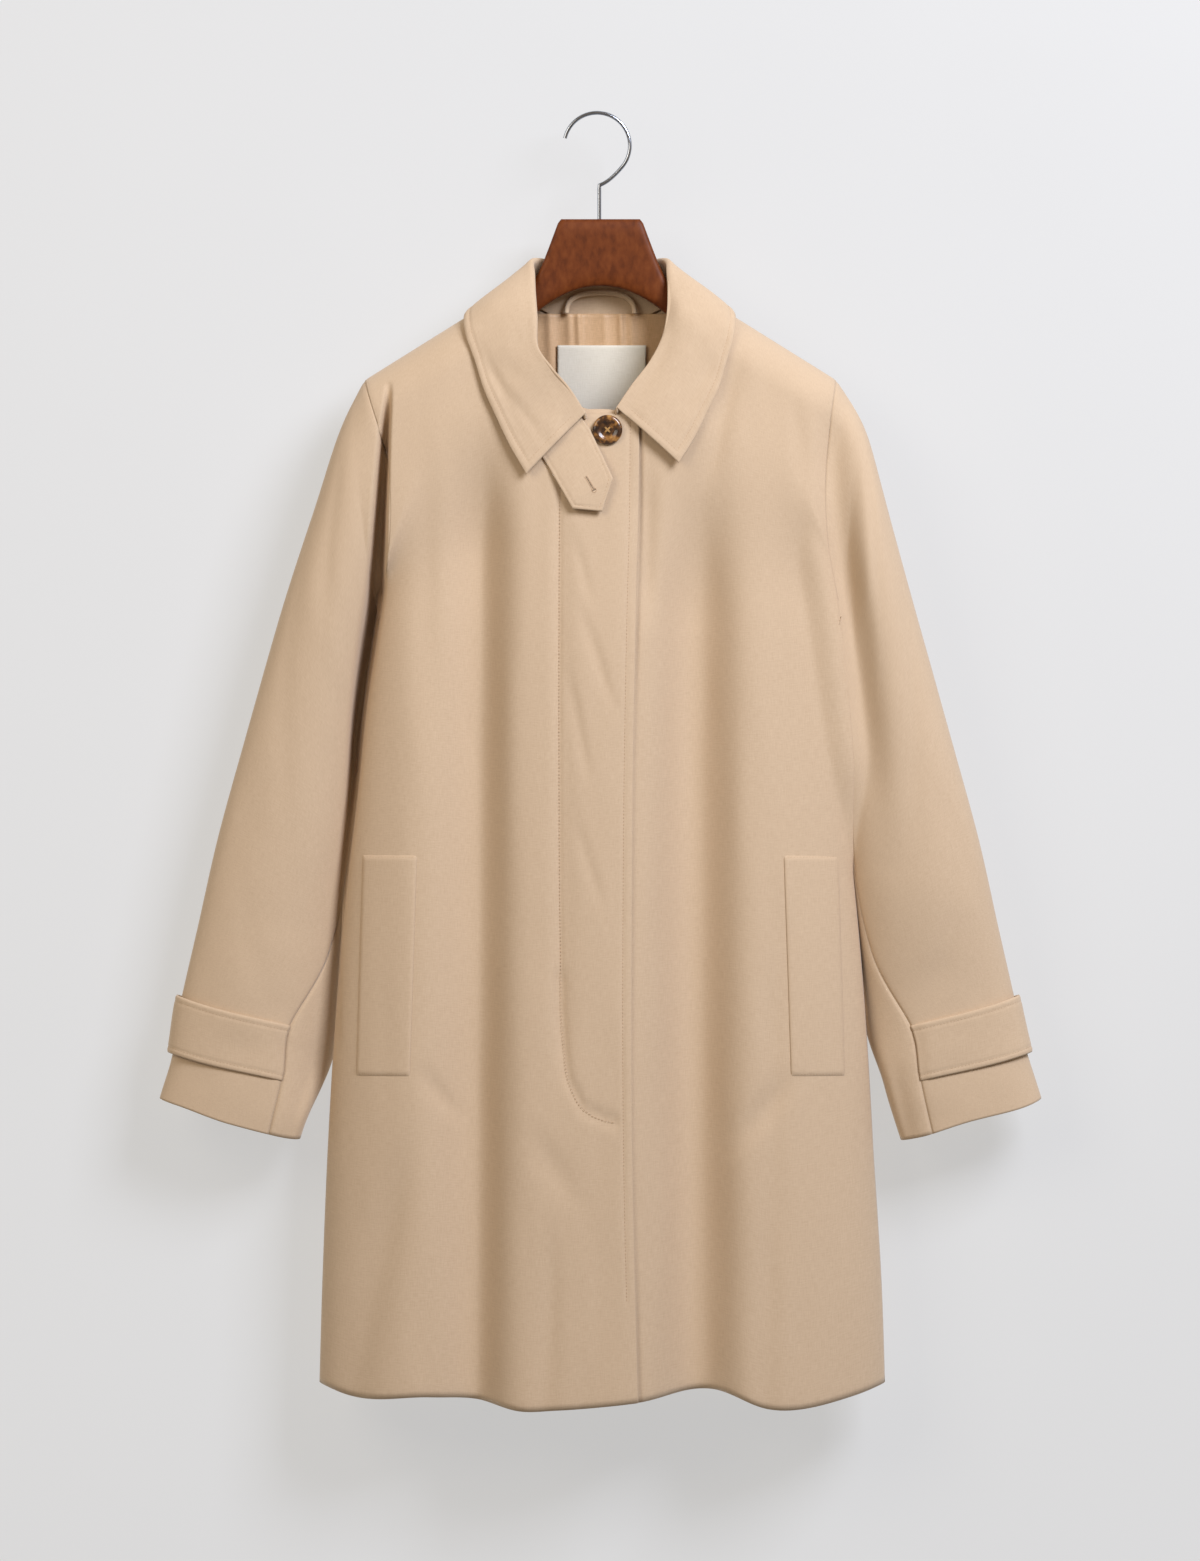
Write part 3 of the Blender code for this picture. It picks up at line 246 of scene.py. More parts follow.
def body_y(x, z, face, creased=True):
    """The cloth's outer surface: face -1 is the front and +1 the back."""
    share = np.clip((SHOULDER_TIP_Z - z) / (SHOULDER_TIP_Z - UNDERARM_Z), 0.0, 1.0)
    n = np.minimum(np.abs(x) / body_size(z, 1), 1.0)
    rounded = np.sqrt(np.maximum(0.0, 1.0 - n ** SIDE_POWER))
    edge = ARMHOLE_SHARE * np.sqrt(np.maximum(0.0, 1.0 - share ** 4))
    opened = 1.0 - (1.0 - edge) * n ** SIDE_POWER
    start = 0.2 + 0.55 * n ** 8
    shut = ease((share - start) / (1.0 - start))
    side = opened * (1.0 - shut) + rounded * shut
    below = np.clip((shoulder_z(x) - z) / SHOULDER_ROUND, 0.0, 1.0)
    top = np.sqrt(np.maximum(0.0, 1.0 - (1.0 - below) ** 2))
    depth = body_size(z, 2 if face < 0 else 3)
    if not creased:
        return face * depth * top * side
    folds = troughs(x, z, FRONT_FOLDS if face < 0 else BACK_FOLDS)
    folds = folds + troughs(x, z, FRONT_CREASES if face < 0 else BACK_CREASES)
    folds = folds + 0.9 * soft_noise(x, z, 27.0, 170.0, 5 + face)
    folds = folds + 0.35 * soft_noise(x, z, 13.0, 55.0, 8 + face)
    return face * (depth * top * side - folds * (1.0 - n ** 6) * top)


def front_neck_z(x):
    """Level of the front neckline."""
    reach = np.clip((np.abs(x) - FRONT_NECK_FLAT) / (NECK_POINT_X - FRONT_NECK_FLAT), 0.0, 1.0)
    drop = (1.0 - reach ** FRONT_NECK_POWER) ** (1.0 / FRONT_NECK_POWER)
    return NECK_POINT_Z - (NECK_POINT_Z - FRONT_NECK_Z) * drop


def back_neck_z(x):
    """Level of the back neckline."""
    return BACK_NECK_Z + (NECK_POINT_Z - BACK_NECK_Z) * (np.abs(x) / NECK_POINT_X) ** 2.4


def hem_z(x, face):
    """Level of the hem."""
    if face < 0:
        return table_curve(HEM_ROWS, x, 0, 1)
    n = np.minimum(np.abs(x) / HEM_ROWS[-1][0], 1.0)
    return HEM_ROWS[0][1] - (1.0 - n ** 4) * (BACK_HEM_DROP + BACK_HEM_WAVE * np.cos(x / BACK_HEM_PITCH))


# reach of the swing and rise of the valley's floor to both sides; widths of the valley on the body's side
# and on the sleeve's, of its floor and of its dip
SWING_REACH, FLOOR_RISE = 42.0, 12.0
BODY_SIDE, SLEEVE_SIDE, FLOOR_WIDTH, DIP_WIDTH = 60.0, 32.0, 24.0, 14.0


def left_swing(x, y, z, under=0.0):
    """The wearer's left side as it swings out to the sleeve, with a soft valley between the two."""
    edge = body_size(z, 1)
    columns = (table_curve(LEFT_SWING_ROWS, z, 0, k) for k in (1, 2, 3, 4))
    shift, floor, dip, beyond = (np.maximum(column, 0.0) for column in columns)
    moved = x + np.where(x > 0, shift * bell(x - edge, SWING_REACH), 0.0)
    front = ease((25.0 - y) / 30.0)
    off_valley = moved - edge - shift - beyond
    sheet = floor + FLOOR_RISE * (1.0 - bell(off_valley, FLOOR_WIDTH))
    behind = sheet * bell(off_valley, np.where(off_valley > 0, SLEEVE_SIDE, BODY_SIDE)) - under + y
    lift = 0.5 * (behind + np.sqrt(behind ** 2 + 9.0)) * ease(floor / 6.0) * bell(off_valley, BODY_SIDE)
    return moved, y - lift * front + dip * bell(off_valley, DIP_WIDTH) * front, z


def right_pleat(x, y, z):
    """The wearer's right side, with a deep narrow pleat between the front and the sleeve."""
    middle, depth, width = (table_curve(RIGHT_PLEAT_ROWS, z, 0, k) for k in (1, 2, 3))
    hollow = np.maximum(depth, 0.0) * np.exp(-((x - middle) / width) ** 4)
    return x, y + hollow * ease((14.0 - y) / 22.0), z


print("body form: hem", float(hem_z(0.0, -1)), "mm, chest depth", float(-body_y(20.0, -420.0, -1)), "mm")

# %% [markdown]
# A panel is a flat grid that is bent into place. Its columns run from the neckline or the shoulder down to
# the hem, and its rows follow the armhole first and then the side seam, as the weave of the real cloth
# does. The same map gives a place on the grid its place on the coat, so it serves the shell, its creases
# and the stitches alike.

# %% Map of a panel
CHEST_SHARE = 0.4


def panel_map(u, v, sign, face, lap):
    """Points of half the body: u runs from the centre edge to the side, v from the top to the hem."""
    start = -lap if face < 0 else 0.0
    flat = FRONT_NECK_FLAT if face < 0 else 0.0
    chest_x = start + (CHEST_HALF - start) * u
    on_neck = np.clip((chest_x - flat) / (CHEST_NECK_X - flat), 0.0, 1.0)
    on_shoulder = np.clip((chest_x - CHEST_NECK_X) / (CHEST_HALF - CHEST_NECK_X), 0.0, 1.0)
    turn = np.sin(on_neck * math.pi / 2) if face < 0 else on_neck
    neck_x = np.where(chest_x < flat, chest_x, flat + (NECK_POINT_X - flat) * turn)
    seam_x = NECK_POINT_X + (SHOULDER_TIP_X - NECK_POINT_X) * on_shoulder
    top_x = np.where(on_shoulder > 0, seam_x, neck_x)
    neck_z = front_neck_z(neck_x) if face < 0 else back_neck_z(neck_x)
    top_z = np.where(on_shoulder > 0, shoulder_z(top_x), neck_z)
    chest_z = UNDERARM_Z - UNDERARM_DROP * (1 - (chest_x / CHEST_HALF) ** 2)

    s = np.clip(v / CHEST_SHARE, 0.0, 1.0)
    share = s * s * (1.6 - 0.6 * s)
    edge_z = SHOULDER_TIP_Z - (SHOULDER_TIP_Z - UNDERARM_Z) * share
    line_x = SHOULDER_TIP_X + (CHEST_HALF - SHOULDER_TIP_X) * share
    pull = np.maximum(top_x / SHOULDER_TIP_X, 0.0) ** 3
    upper_x = top_x + (chest_x - top_x) * share + (body_size(edge_z, 1) - line_x) * pull
    upper_z = top_z + (chest_z - top_z) * share

    t = np.clip((v - CHEST_SHARE) / (1 - CHEST_SHARE), 0.0, 1.0)
    side_z = UNDERARM_Z + (hem_z(sign * HEM_ROWS[-1][0], face) - UNDERARM_Z) * t
    widen = body_size(side_z, 1) / CHEST_HALF
    skirt_x = np.where(chest_x > 0, chest_x * widen, chest_x * (1 + (LAP_AT_HEM / LAP - 1) * t))
    skirt_z = chest_z + (hem_z(sign * skirt_x, face) - chest_z) * t

    x = sign * np.where(v < CHEST_SHARE, upper_x, skirt_x)
    z = np.where(v < CHEST_SHARE, upper_z, skirt_z)
    return x, z


print("panel map ready, chest", CHEST_HALF, "mm to each side")

# %% [markdown]
# Gabardine is a tightly woven twill, so from a step away it looks matte and even, with a fine grain of
# warp and weft threads that are never quite one colour. Two stretched noises along the cloth's own UV map
# stand for the threads, a slow one for the uneven dye, and a little sheen lifts the edges as its nap does.

# %% Materials of cloth
def blank_material(name):
    """A new material with its node tree and its shader."""
    made = bpy.data.materials.new(name)
    made.use_nodes = True
    return made, made.node_tree.nodes, made.node_tree.links, made.node_tree.nodes["Principled BSDF"]


def stretched_noise(nodes, links, source, scale, detail):
    """A noise whose cells are stretched along the axes of its source."""
    mapping = nodes.new("ShaderNodeMapping")
    mapping.inputs["Scale"].default_value = scale
    noise = nodes.new("ShaderNodeTexNoise")
    noise.inputs["Scale"].default_value = 1.0
    noise.inputs["Detail"].default_value = detail
    links.new(source, mapping.inputs["Vector"])
    links.new(mapping.outputs["Vector"], noise.inputs["Vector"])
    return noise.outputs["Fac"]


def math_node(nodes, links, operation, first, second):
    """One step of arithmetic on two values or sockets."""
    node = nodes.new("ShaderNodeMath")
    node.operation = operation
    for socket, value in zip(node.inputs, (first, second)):
        if isinstance(value, (int, float)):
            socket.default_value = value
        else:
            links.new(value, socket)
    return node.outputs[0]


def colour_ramp(nodes, links, factor, stops):
    """A colour for a factor, from a list of places and colours."""
    ramp = nodes.new("ShaderNodeValToRGB")
    while len(ramp.color_ramp.elements) < len(stops):
        ramp.color_ramp.elements.new(0.5)
    for element, (place, colour) in zip(ramp.color_ramp.elements, stops):
        element.position = place
        element.color = (*colour, 1.0)
    links.new(factor, ramp.inputs["Fac"])
    return ramp.outputs["Color"]


def bump(nodes, links, shader, height, strength, distance):
    """Fine relief on a shader from a height."""
    node = nodes.new("ShaderNodeBump")
    node.inputs["Strength"].default_value = strength
    node.inputs["Distance"].default_value = distance
    links.new(height, node.inputs["Height"])
    links.new(node.outputs["Normal"], shader.inputs["Normal"])


def woven_cloth(name, dark, light, thread, roughness, sheen):
    """A woven cloth: threads of a given width in metres along its UV map."""
    made, nodes, links, shader = blank_material(name)
    weave = nodes.new("ShaderNodeUVMap")
    weave.uv_map = "weave"
    warp = stretched_noise(nodes, links, weave.outputs["UV"], (1 / thread, 1 / (9 * thread), 1.0), 2.0)
    weft = stretched_noise(nodes, links, weave.outputs["UV"], (1 / (9 * thread), 1 / thread, 1.0), 2.0)
    dye = stretched_noise(nodes, links, weave.outputs["UV"], (22.0, 9.0, 1.0), 3.0)
    threads = math_node(nodes, links, "ADD", warp, weft)
    shade = math_node(nodes, links, "MULTIPLY", threads, 0.46)
    shade = math_node(nodes, links, "ADD", shade, math_node(nodes, links, "MULTIPLY", dye, 0.08))
    colour = colour_ramp(nodes, links, shade, ((0.32, dark), (0.68, light)))
    links.new(colour, shader.inputs["Base Color"])
    bump(nodes, links, shader, threads, 0.28, 0.00025)
    shader.inputs["Roughness"].default_value = roughness
    shader.inputs["Specular IOR Level"].default_value = 0.45
    shader.inputs["Sheen Weight"].default_value = sheen
    shader.inputs["Sheen Roughness"].default_value = 0.5
    return made


# darker and lighter colour, width of a thread in metres, roughness, sheen
CLOTHS = {
    "gabardine": ((0.565, 0.418, 0.273), (0.652, 0.498, 0.336), 0.0009, 0.88, 0.2),
    "lining_satin": ((0.55, 0.355, 0.19), (0.70, 0.465, 0.265), 0.0007, 0.45, 0.05),
    "label_cloth": ((0.735, 0.695, 0.575), (0.815, 0.78, 0.665), 0.0008, 0.8, 0.1),
    "thread": ((0.44, 0.29, 0.17), (0.60, 0.42, 0.26), 0.0006, 0.7, 0.1),
    "gold_thread": ((0.33, 0.17, 0.045), (0.50, 0.29, 0.09), 0.0006, 0.6, 0.1),
    # painted shade: the near-black colour of the bars that stand for the buttonhole's dark open slit
    "slit_painted_shade": ((0.045, 0.026, 0.015), (0.09, 0.055, 0.032), 0.0006, 0.8, 0.0),
}
LOOKS = {name: woven_cloth(name, *values) for name, values in CLOTHS.items()}
print("cloth looks", sorted(LOOKS))

# %% [markdown]
# Every cloth piece starts as one of Blender's grids. A map bends the flat grid into place, the seams and
# stitch lines are pressed into it along its own normals, and a Solidify modifier gives it the cloth's
# thickness inwards, so that its outside lies where the solid's outside is. The grid's own lengths give the
# UV map in metres, and the size that the piece was cut to.

# %% Shell of cloth
def grid_lengths(points, axis):
    """Length along the cloth from the first row or column to each point."""
    steps = np.linalg.norm(np.diff(points, axis=axis), axis=2)
    start = np.zeros_like(np.take(steps, [0], axis=axis))
    return np.concatenate((start, np.cumsum(steps, axis=axis)), axis=axis)


def grid_normals(points, outward):
    """Unit normals of a grid of points, on the side that faces outward in all."""
    normal = np.cross(np.gradient(points, axis=1), np.gradient(points, axis=0))
    if (normal.sum(axis=(0, 1)) * outward).sum() < 0:
        normal = -normal
    return normal / np.maximum(np.linalg.norm(normal, axis=2, keepdims=True), 1e-9)


def seam_press(points, edges, depth, width):
    """How far the cloth is pressed in near its sewn edges."""
    across = grid_lengths(points, 1)
    down = grid_lengths(points, 0)
    from_edge = {
        "left": across, "right": across[:, -1:] - across, "top": down, "bottom": down[-1:] - down,
    }
    total = np.zeros(points.shape[:2])
    for edge in edges:
        total = np.maximum(total, depth * bell(from_edge[edge], width))
    return total


def mesh_object(name, bm, look):
    """A bmesh as a smooth object in the scene, with one material."""
    mesh = bpy.data.meshes.new(name)
    bm.to_mesh(mesh)
    bm.free()
    mesh.shade_smooth()
    mesh.materials.append(look)
    made = bpy.data.objects.new(name, mesh)
    bpy.context.scene.collection.objects.link(made)
    return made


def grid_object(name, across, down, place, outward, look, press=None, wall=WALL):
    """A grid bent into place as a shell of cloth; also its points and normals in millimetres."""
    bm = bmesh.new()
    weave = bm.loops.layers.uv.new("weave")
    bmesh.ops.create_grid(bm, x_segments=across, y_segments=down, size=0.5, calc_uvs=True)
    flat = np.array([vert.co for vert in bm.verts])
    order = np.lexsort((flat[:, 0].round(6), -flat[:, 1].round(6)))
    columns = len(np.unique(flat[:, 0].round(6)))
    shape = (len(order) // columns, columns)
    u = (flat[order, 0] + 0.5).reshape(shape)
    v = (0.5 - flat[order, 1]).reshape(shape)
    points = np.stack(np.broadcast_arrays(*place(u, v)), axis=2) + (CENTRE_X, 0.0, 0.0)
    normals = grid_normals(points, np.array(outward))
    if press is not None:
        points = points - normals * press(points, u, v)[:, :, None]
    bm.verts.ensure_lookup_table()
    for index, point in zip(order, points.reshape(-1, 3)):
        bm.verts[index].co = point * MM
    bm.normal_update()
    facing = sum((face.normal * face.calc_area() for face in bm.faces), Vector())
    if facing.dot(Vector(outward)) < 0:
        bmesh.ops.reverse_faces(bm, faces=bm.faces)
    width = grid_lengths(points, 1)[:, -1].max() * MM
    length = grid_lengths(points, 0)[-1].max() * MM
    for face in bm.faces:
        for loop in face.loops:
            loop[weave].uv = (loop[weave].uv[0] * width, loop[weave].uv[1] * length)
    area = sum(face.calc_area() for face in bm.faces)
    made = mesh_object(name, bm, LOOKS[look])
    if wall:
        thick = made.modifiers.new("cloth", "SOLIDIFY")
        thick.thickness = wall * MM
        thick.offset = -1.0
    made["cut"] = (width, length, area)
    return made, points, normals


def carry(made, nodes=()):
    """Fix a piece to the coat's body, where it may stand for some solids."""
    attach(made, "root")
    if nodes:
        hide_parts(*nodes)


def wear(made, nodes, stitches=()):
    carry(made, nodes)
    del made["cut"]


# %% [markdown]
# A topstitch is a row of short bars of thread that sink into the cloth. Each bar is a small icosphere
# drawn out along the line, and one mesh holds all the bars of a piece.

# %% Topstitching
STITCH_PITCH, STITCH_LENGTH, STITCH_R = 3.0, 2.2, 0.27


def run_lengths(points):
    """Length along a line of points from the first to each."""
    return np.concatenate(([0.0], np.cumsum(np.linalg.norm(np.diff(points, axis=0), axis=1))))


def stitch_places(points, normals, pitch=STITCH_PITCH, sink=0.12):
    """Turned and placed matrices of the stitches along a line of points on the cloth."""
    along = run_lengths(points)

    def read(values, at):
        return Vector([np.interp(at, along, values[:, axis]) for axis in range(3)])

    places = []
    for k in range(int(along[-1] / pitch)):
        middle = (k + 0.5) * pitch
        up = read(normals, middle).normalized()
        way = (read(points, middle + 1) - read(points, middle - 1)).normalized()
        side = up.cross(way).normalized()
        turn = Matrix((way, side, way.cross(side))).transposed().to_4x4()
        size = Matrix.Diagonal((STITCH_LENGTH / 2 * MM, STITCH_R * MM, STITCH_R * MM, 1.0))
        spot = read(points, middle) * MM - up * sink * MM
        places.append(Matrix.Translation(spot) @ turn @ size)
    return places


def sew(name, places, look="thread"):
    """One mesh of all the stitches of a piece, which goes with the coat."""
    bm = bmesh.new()
    bm.loops.layers.uv.new("weave")
    for place in places:
        bmesh.ops.create_icosphere(bm, subdivisions=1, radius=1.0, matrix=place, calc_uvs=True)
    made = mesh_object(name, bm, LOOKS[look])
    carry(made)
    print(name, len(places), "stitches")
    return made


def grid_line(points, normals, rows, columns):
    """Points and normals along a line of places on a grid, given as parts of rows and columns."""
    i = np.clip(np.floor(rows).astype(int), 0, points.shape[0] - 2)
    j = np.clip(np.floor(columns).astype(int), 0, points.shape[1] - 2)
    s = (rows - i)[:, None]
    t = (columns - j)[:, None]
    blend = []
    for grid in (points, normals):
        near = grid[i, j] * (1 - t) + grid[i, j + 1] * t
        far = grid[i + 1, j] * (1 - t) + grid[i + 1, j + 1] * t
        blend.append(near * (1 - s) + far * s)
    return blend


def inset_rows(points, inset, from_end):
    """For each column, the row that lies an inset away from the first or last row."""
    down = grid_lengths(points, 0)
    reach = down[-1] - inset if from_end else np.full(points.shape[1], inset)
    rows = np.arange(points.shape[0])
    return np.array([np.interp(r, down[:, j], rows) for j, r in enumerate(reach)])


def inset_columns(points, inset, from_end):
    """For each row, the column that lies an inset away from the first or last column."""
    return inset_rows(points.transpose(1, 0, 2), inset, from_end)


print("stitch pitch", STITCH_PITCH, "mm")

# %% [markdown]
# The two fronts are the largest panels of the coat. The wearer's right front laps over the left one, and
# hides its buttons under a fly: a line of stitching runs down beside its edge, and a second line that
# curves in at the bottom holds the fly's facing. Both lines press the cloth in a little.

# %% Fronts
# level, place across of the edge that laps over
LAP_ROWS = (
    (-1110.0, 32.5), (-1051.0, 31.0), (-880.0, 27.2), (-685.0, 26.8), (-516.0, 28.5), (-431.0, 30.2),
    (-345.0, 32.3), (-250.0, 33.0),
)
# level, depth of the groove along that edge
GROOVE_ROWS = (
    (-1110.0, 1.6), (-1040.0, 1.2), (-900.0, 0.2), (-680.0, 0.3), (-516.0, 0.6), (-431.0, 1.6),
    (-345.0, 2.2), (-250.0, 1.6),
)
LAP_STEP, LAP_FADE, GROOVE_WIDTH, FLY_INSET = 2.2, 26.0, 4.5, 7.7
SKIRT_LENGTH, CORNER_RISE = 660.0, 4.0
# place across and level of the curved stitch line that holds the fly's facing
FACING_LINE = (
    (-34.5, -306.0), (-35.0, -420.0), (-35.0, -560.0), (-34.0, -700.0), (-31.5, -790.0), (-27.0, -822.0),
    (-18.0, -842.0), (-4.0, -853.0), (12.0, -857.0),
)


def smooth_line(rows, count):
    """Many points along a smooth curve through a few points."""
    rows = np.array(rows, float)
    key = run_lengths(rows)
    at = np.linspace(0.0, key[-1], count)
    return np.stack([smooth_curve(key, rows[:, k], at) for k in range(rows.shape[1])], axis=1)


def line_press(points, line, depth, width):
    """How far a stitch line presses the cloth in, seen from the front."""
    press = np.zeros(points.shape[:2])
    x = points[:, :, 0] - CENTRE_X
    z = points[:, :, 2]
    for start, end in zip(line, line[1:]):
        way = end - start
        share = np.clip(((x - start[0]) * way[0] + (z - start[1]) * way[1]) / (way @ way), 0.0, 1.0)
        away = np.hypot(x - start[0] - share * way[0], z - start[1] - share * way[1])
        press = np.maximum(press, depth * bell(away, width))
    return press


def lap_line(z):
    """Place across of the edge that laps over."""
    return table_curve(LAP_ROWS, z, 0, 1)


def lap_step(x, z):
    """How far the left front lies under the right one, with a groove along the right one's edge."""
    past = x - lap_line(z)
    groove = table_curve(GROOVE_ROWS, z, 0, 1)
    return LAP_STEP * (1.0 - ease(past / LAP_FADE)) + groove * (1.0 - ease((past - 0.2) / GROOVE_WIDTH))


facing_line = smooth_line(FACING_LINE, 60)
fly_levels = np.linspace(-262.0, -1088.0, 200)
straight_line = np.stack((lap_line(fly_levels) - FLY_INSET, fly_levels), axis=1)


def place_front(sign):
    """Map of a front."""
    def place(u, v):
        x, z = panel_map(u, v, sign, -1, LAP)
        if sign > 0:
            z = z + CORNER_RISE * (1 - ease(v / 0.06)) * (1 - ease((x - 4.0) / 24.0))
            return left_swing(x, body_y(x, z, -1) + lap_step(x, z), z)
        straight = LAP + (LAP_AT_HEM - LAP) * np.clip((UNDERARM_Z - z) / SKIRT_LENGTH, 0.0, 1.0)
        x = np.where(x > 0, x * lap_line(z) / straight, x)
        return right_pleat(x, body_y(x, z, -1), z)
    return place


def press_front(sign):
    """Seams and stitch lines of a front."""
    def press(points, u, v):
        armhole = seam_press(points, ("right",), 0.7, 2.6)
        low = ease((-points[:, :, 2] - 600.0) / 60.0)
        armhole = armhole * np.maximum(low, ease((points[:, :, 2] + 340.0) / 70.0))
        total = np.maximum(armhole, seam_press(points, ("top",), 0.7, 2.6))
        total = np.maximum(total, seam_press(points, ("bottom",), 0.5, 1.6))
        if sign < 0:
            total = np.maximum(total, line_press(points, facing_line[::6], 1.1, 2.4))
            total = np.maximum(total, line_press(points, facing_line[44::3], 2.0, 4.5))
            total = np.maximum(total, line_press(points, straight_line[::20], 0.7, 2.0))
        return total
    return press


def cloth_line(line, face, lift=0.0):
    """Points and normals on the body's cloth under a line of places across and levels."""
    x, z = line[:, 0], line[:, 1]
    near = 1.0
    slope_x = (body_y(x + near, z, face) - body_y(x - near, z, face)) / (2 * near)
    slope_z = (body_y(x, z + near, face) - body_y(x, z - near, face)) / (2 * near)
    normals = np.stack((-face * slope_x, np.full(len(x), float(face)), -face * slope_z), axis=1)
    normals = normals / np.linalg.norm(normals, axis=1, keepdims=True)
    points = np.stack((x + CENTRE_X, body_y(x, z, face), z), axis=1)
    return points + normals * lift, normals


fly_places = []
for line in (facing_line, straight_line):
    fly_places += stitch_places(*cloth_line(line, -1, -0.5))
fly_stitches = sew("fly_stitches", fly_places)
SIDES = ((-1, "right"), (1, "left"))
for sign, side in SIDES:
    cloth = grid_object(f"{side}_front_cloth", 205, 195, place_front(sign), (0, -1, 0), "gabardine",
                        press_front(sign))[0]
    wear(cloth, [f"front_{side}"], [fly_stitches] if sign < 0 else ())

# %% [markdown]
# The back hangs behind the hanger, in one piece from side seam to side seam. The photograph doesn't show
# it, so it has the same sort of folds as the fronts: a few long ones that start under the shoulder blades.

# %% Back
def place_back(u, v):
    """Map of the whole back, from the right side to the left."""
    across = 2 * u - 1
    sign = np.where(across < 0, -1.0, 1.0)
    x, z = panel_map(np.abs(across), v, sign, 1, 0.0)
    return right_pleat(*left_swing(x, body_y(x, z, 1), z))


def press_back(points, u, v):
    """Side seams, shoulder seams and hem of the back."""
    sides = seam_press(points, ("left", "right", "top"), 0.7, 2.6)
    return np.maximum(sides, seam_press(points, ("bottom",), 0.5, 1.6))


cloth = grid_object("back_cloth", 150, 180, place_back, (0, 1, 0), "gabardine", press_back)[0]
wear(cloth, ["back"])

# %% [markdown]
# A coat sleeve is cut in two pieces: a wide top sleeve that shows, and a narrow under sleeve against the
# body. Rings of the sleeve run from the armhole, where they follow the body's own edge, to the cuff. Soft
# slanted creases show where the elbow hangs, and the sleeve's seams are pressed in along their lower half.

# %% Sleeves
# place across and level of the outer edge, the same of the inner edge, half depth, centre of depth
SLEEVE_ROWS = (
    (201.0, -226.0, 190.0, -425.0, 34.0, 0.0),
    (223.0, -272.0, 197.0, -455.0, 38.0, 1.0),
    (247.0, -348.0, 202.5, -492.0, 39.0, 3.0),
    (273.5, -438.0, 209.0, -542.0, 38.0, 5.0),
    (299.0, -528.0, 216.0, -605.0, 36.0, 6.0),
    (323.0, -615.0, 222.5, -668.0, 34.0, 7.0),
    (340.0, -690.0, 228.5, -728.0, 32.0, 7.0),
    (354.0, -751.0, 233.5, -785.0, 30.0, 7.0),
    (363.5, -797.0, 242.0, -828.0, 29.0, 7.0),
    (376.0, -839.0, 256.0, -872.0, 28.0, 7.0),
)
# place down the sleeve, and the seams' place in the half turn from its outer edge to its inner edge
SEAM_ROWS = (
    (0.0, 0.90), (1.0, 0.90), (4.0, 0.90), (5.0, 0.88), (5.8, 0.82), (7.1, 0.65), (8.0, 0.67), (9.0, 0.69),
)
SLEEVE_LAST = 9.0
# how far the sleeve's inner edge goes in under the body's side and, for each side, how far back; how far the
# left sleeve hangs forward
SLEEVE_TUCK, TUCK_BACK, LEFT_FORWARD = 8.0, {-1: 26.0, 1: 12.0}, 8.0
# place down the sleeve, turn round it, slant, half length, width, depth of each crease
SLEEVE_CREASES = (
    (1.7, 1.05, 0.50, 0.9, 0.13, 2.4),
    (2.9, 0.75, 0.35, 0.8, 0.12, 1.8),
    (3.9, 1.30, 0.40, 0.8, 0.12, 2.0),
    (5.0, 0.80, -0.35, 0.8, 0.12, 1.8),
    (6.0, 1.35, 0.45, 0.7, 0.12, 1.7),
    (2.3, -1.10, 0.45, 0.9, 0.14, 2.2),
    (4.2, -0.95, -0.40, 0.8, 0.13, 2.0),
    (5.6, -1.25, 0.40, 0.8, 0.13, 1.8),
    (8.4, 2.55, 0.10, 0.9, 0.10, 6.0),
)


def sleeve_size(place, column):
    """A size of the sleeve at a place counted in rows."""
    return smooth_curve(range(len(SLEEVE_ROWS)), [row[column] for row in SLEEVE_ROWS], place)


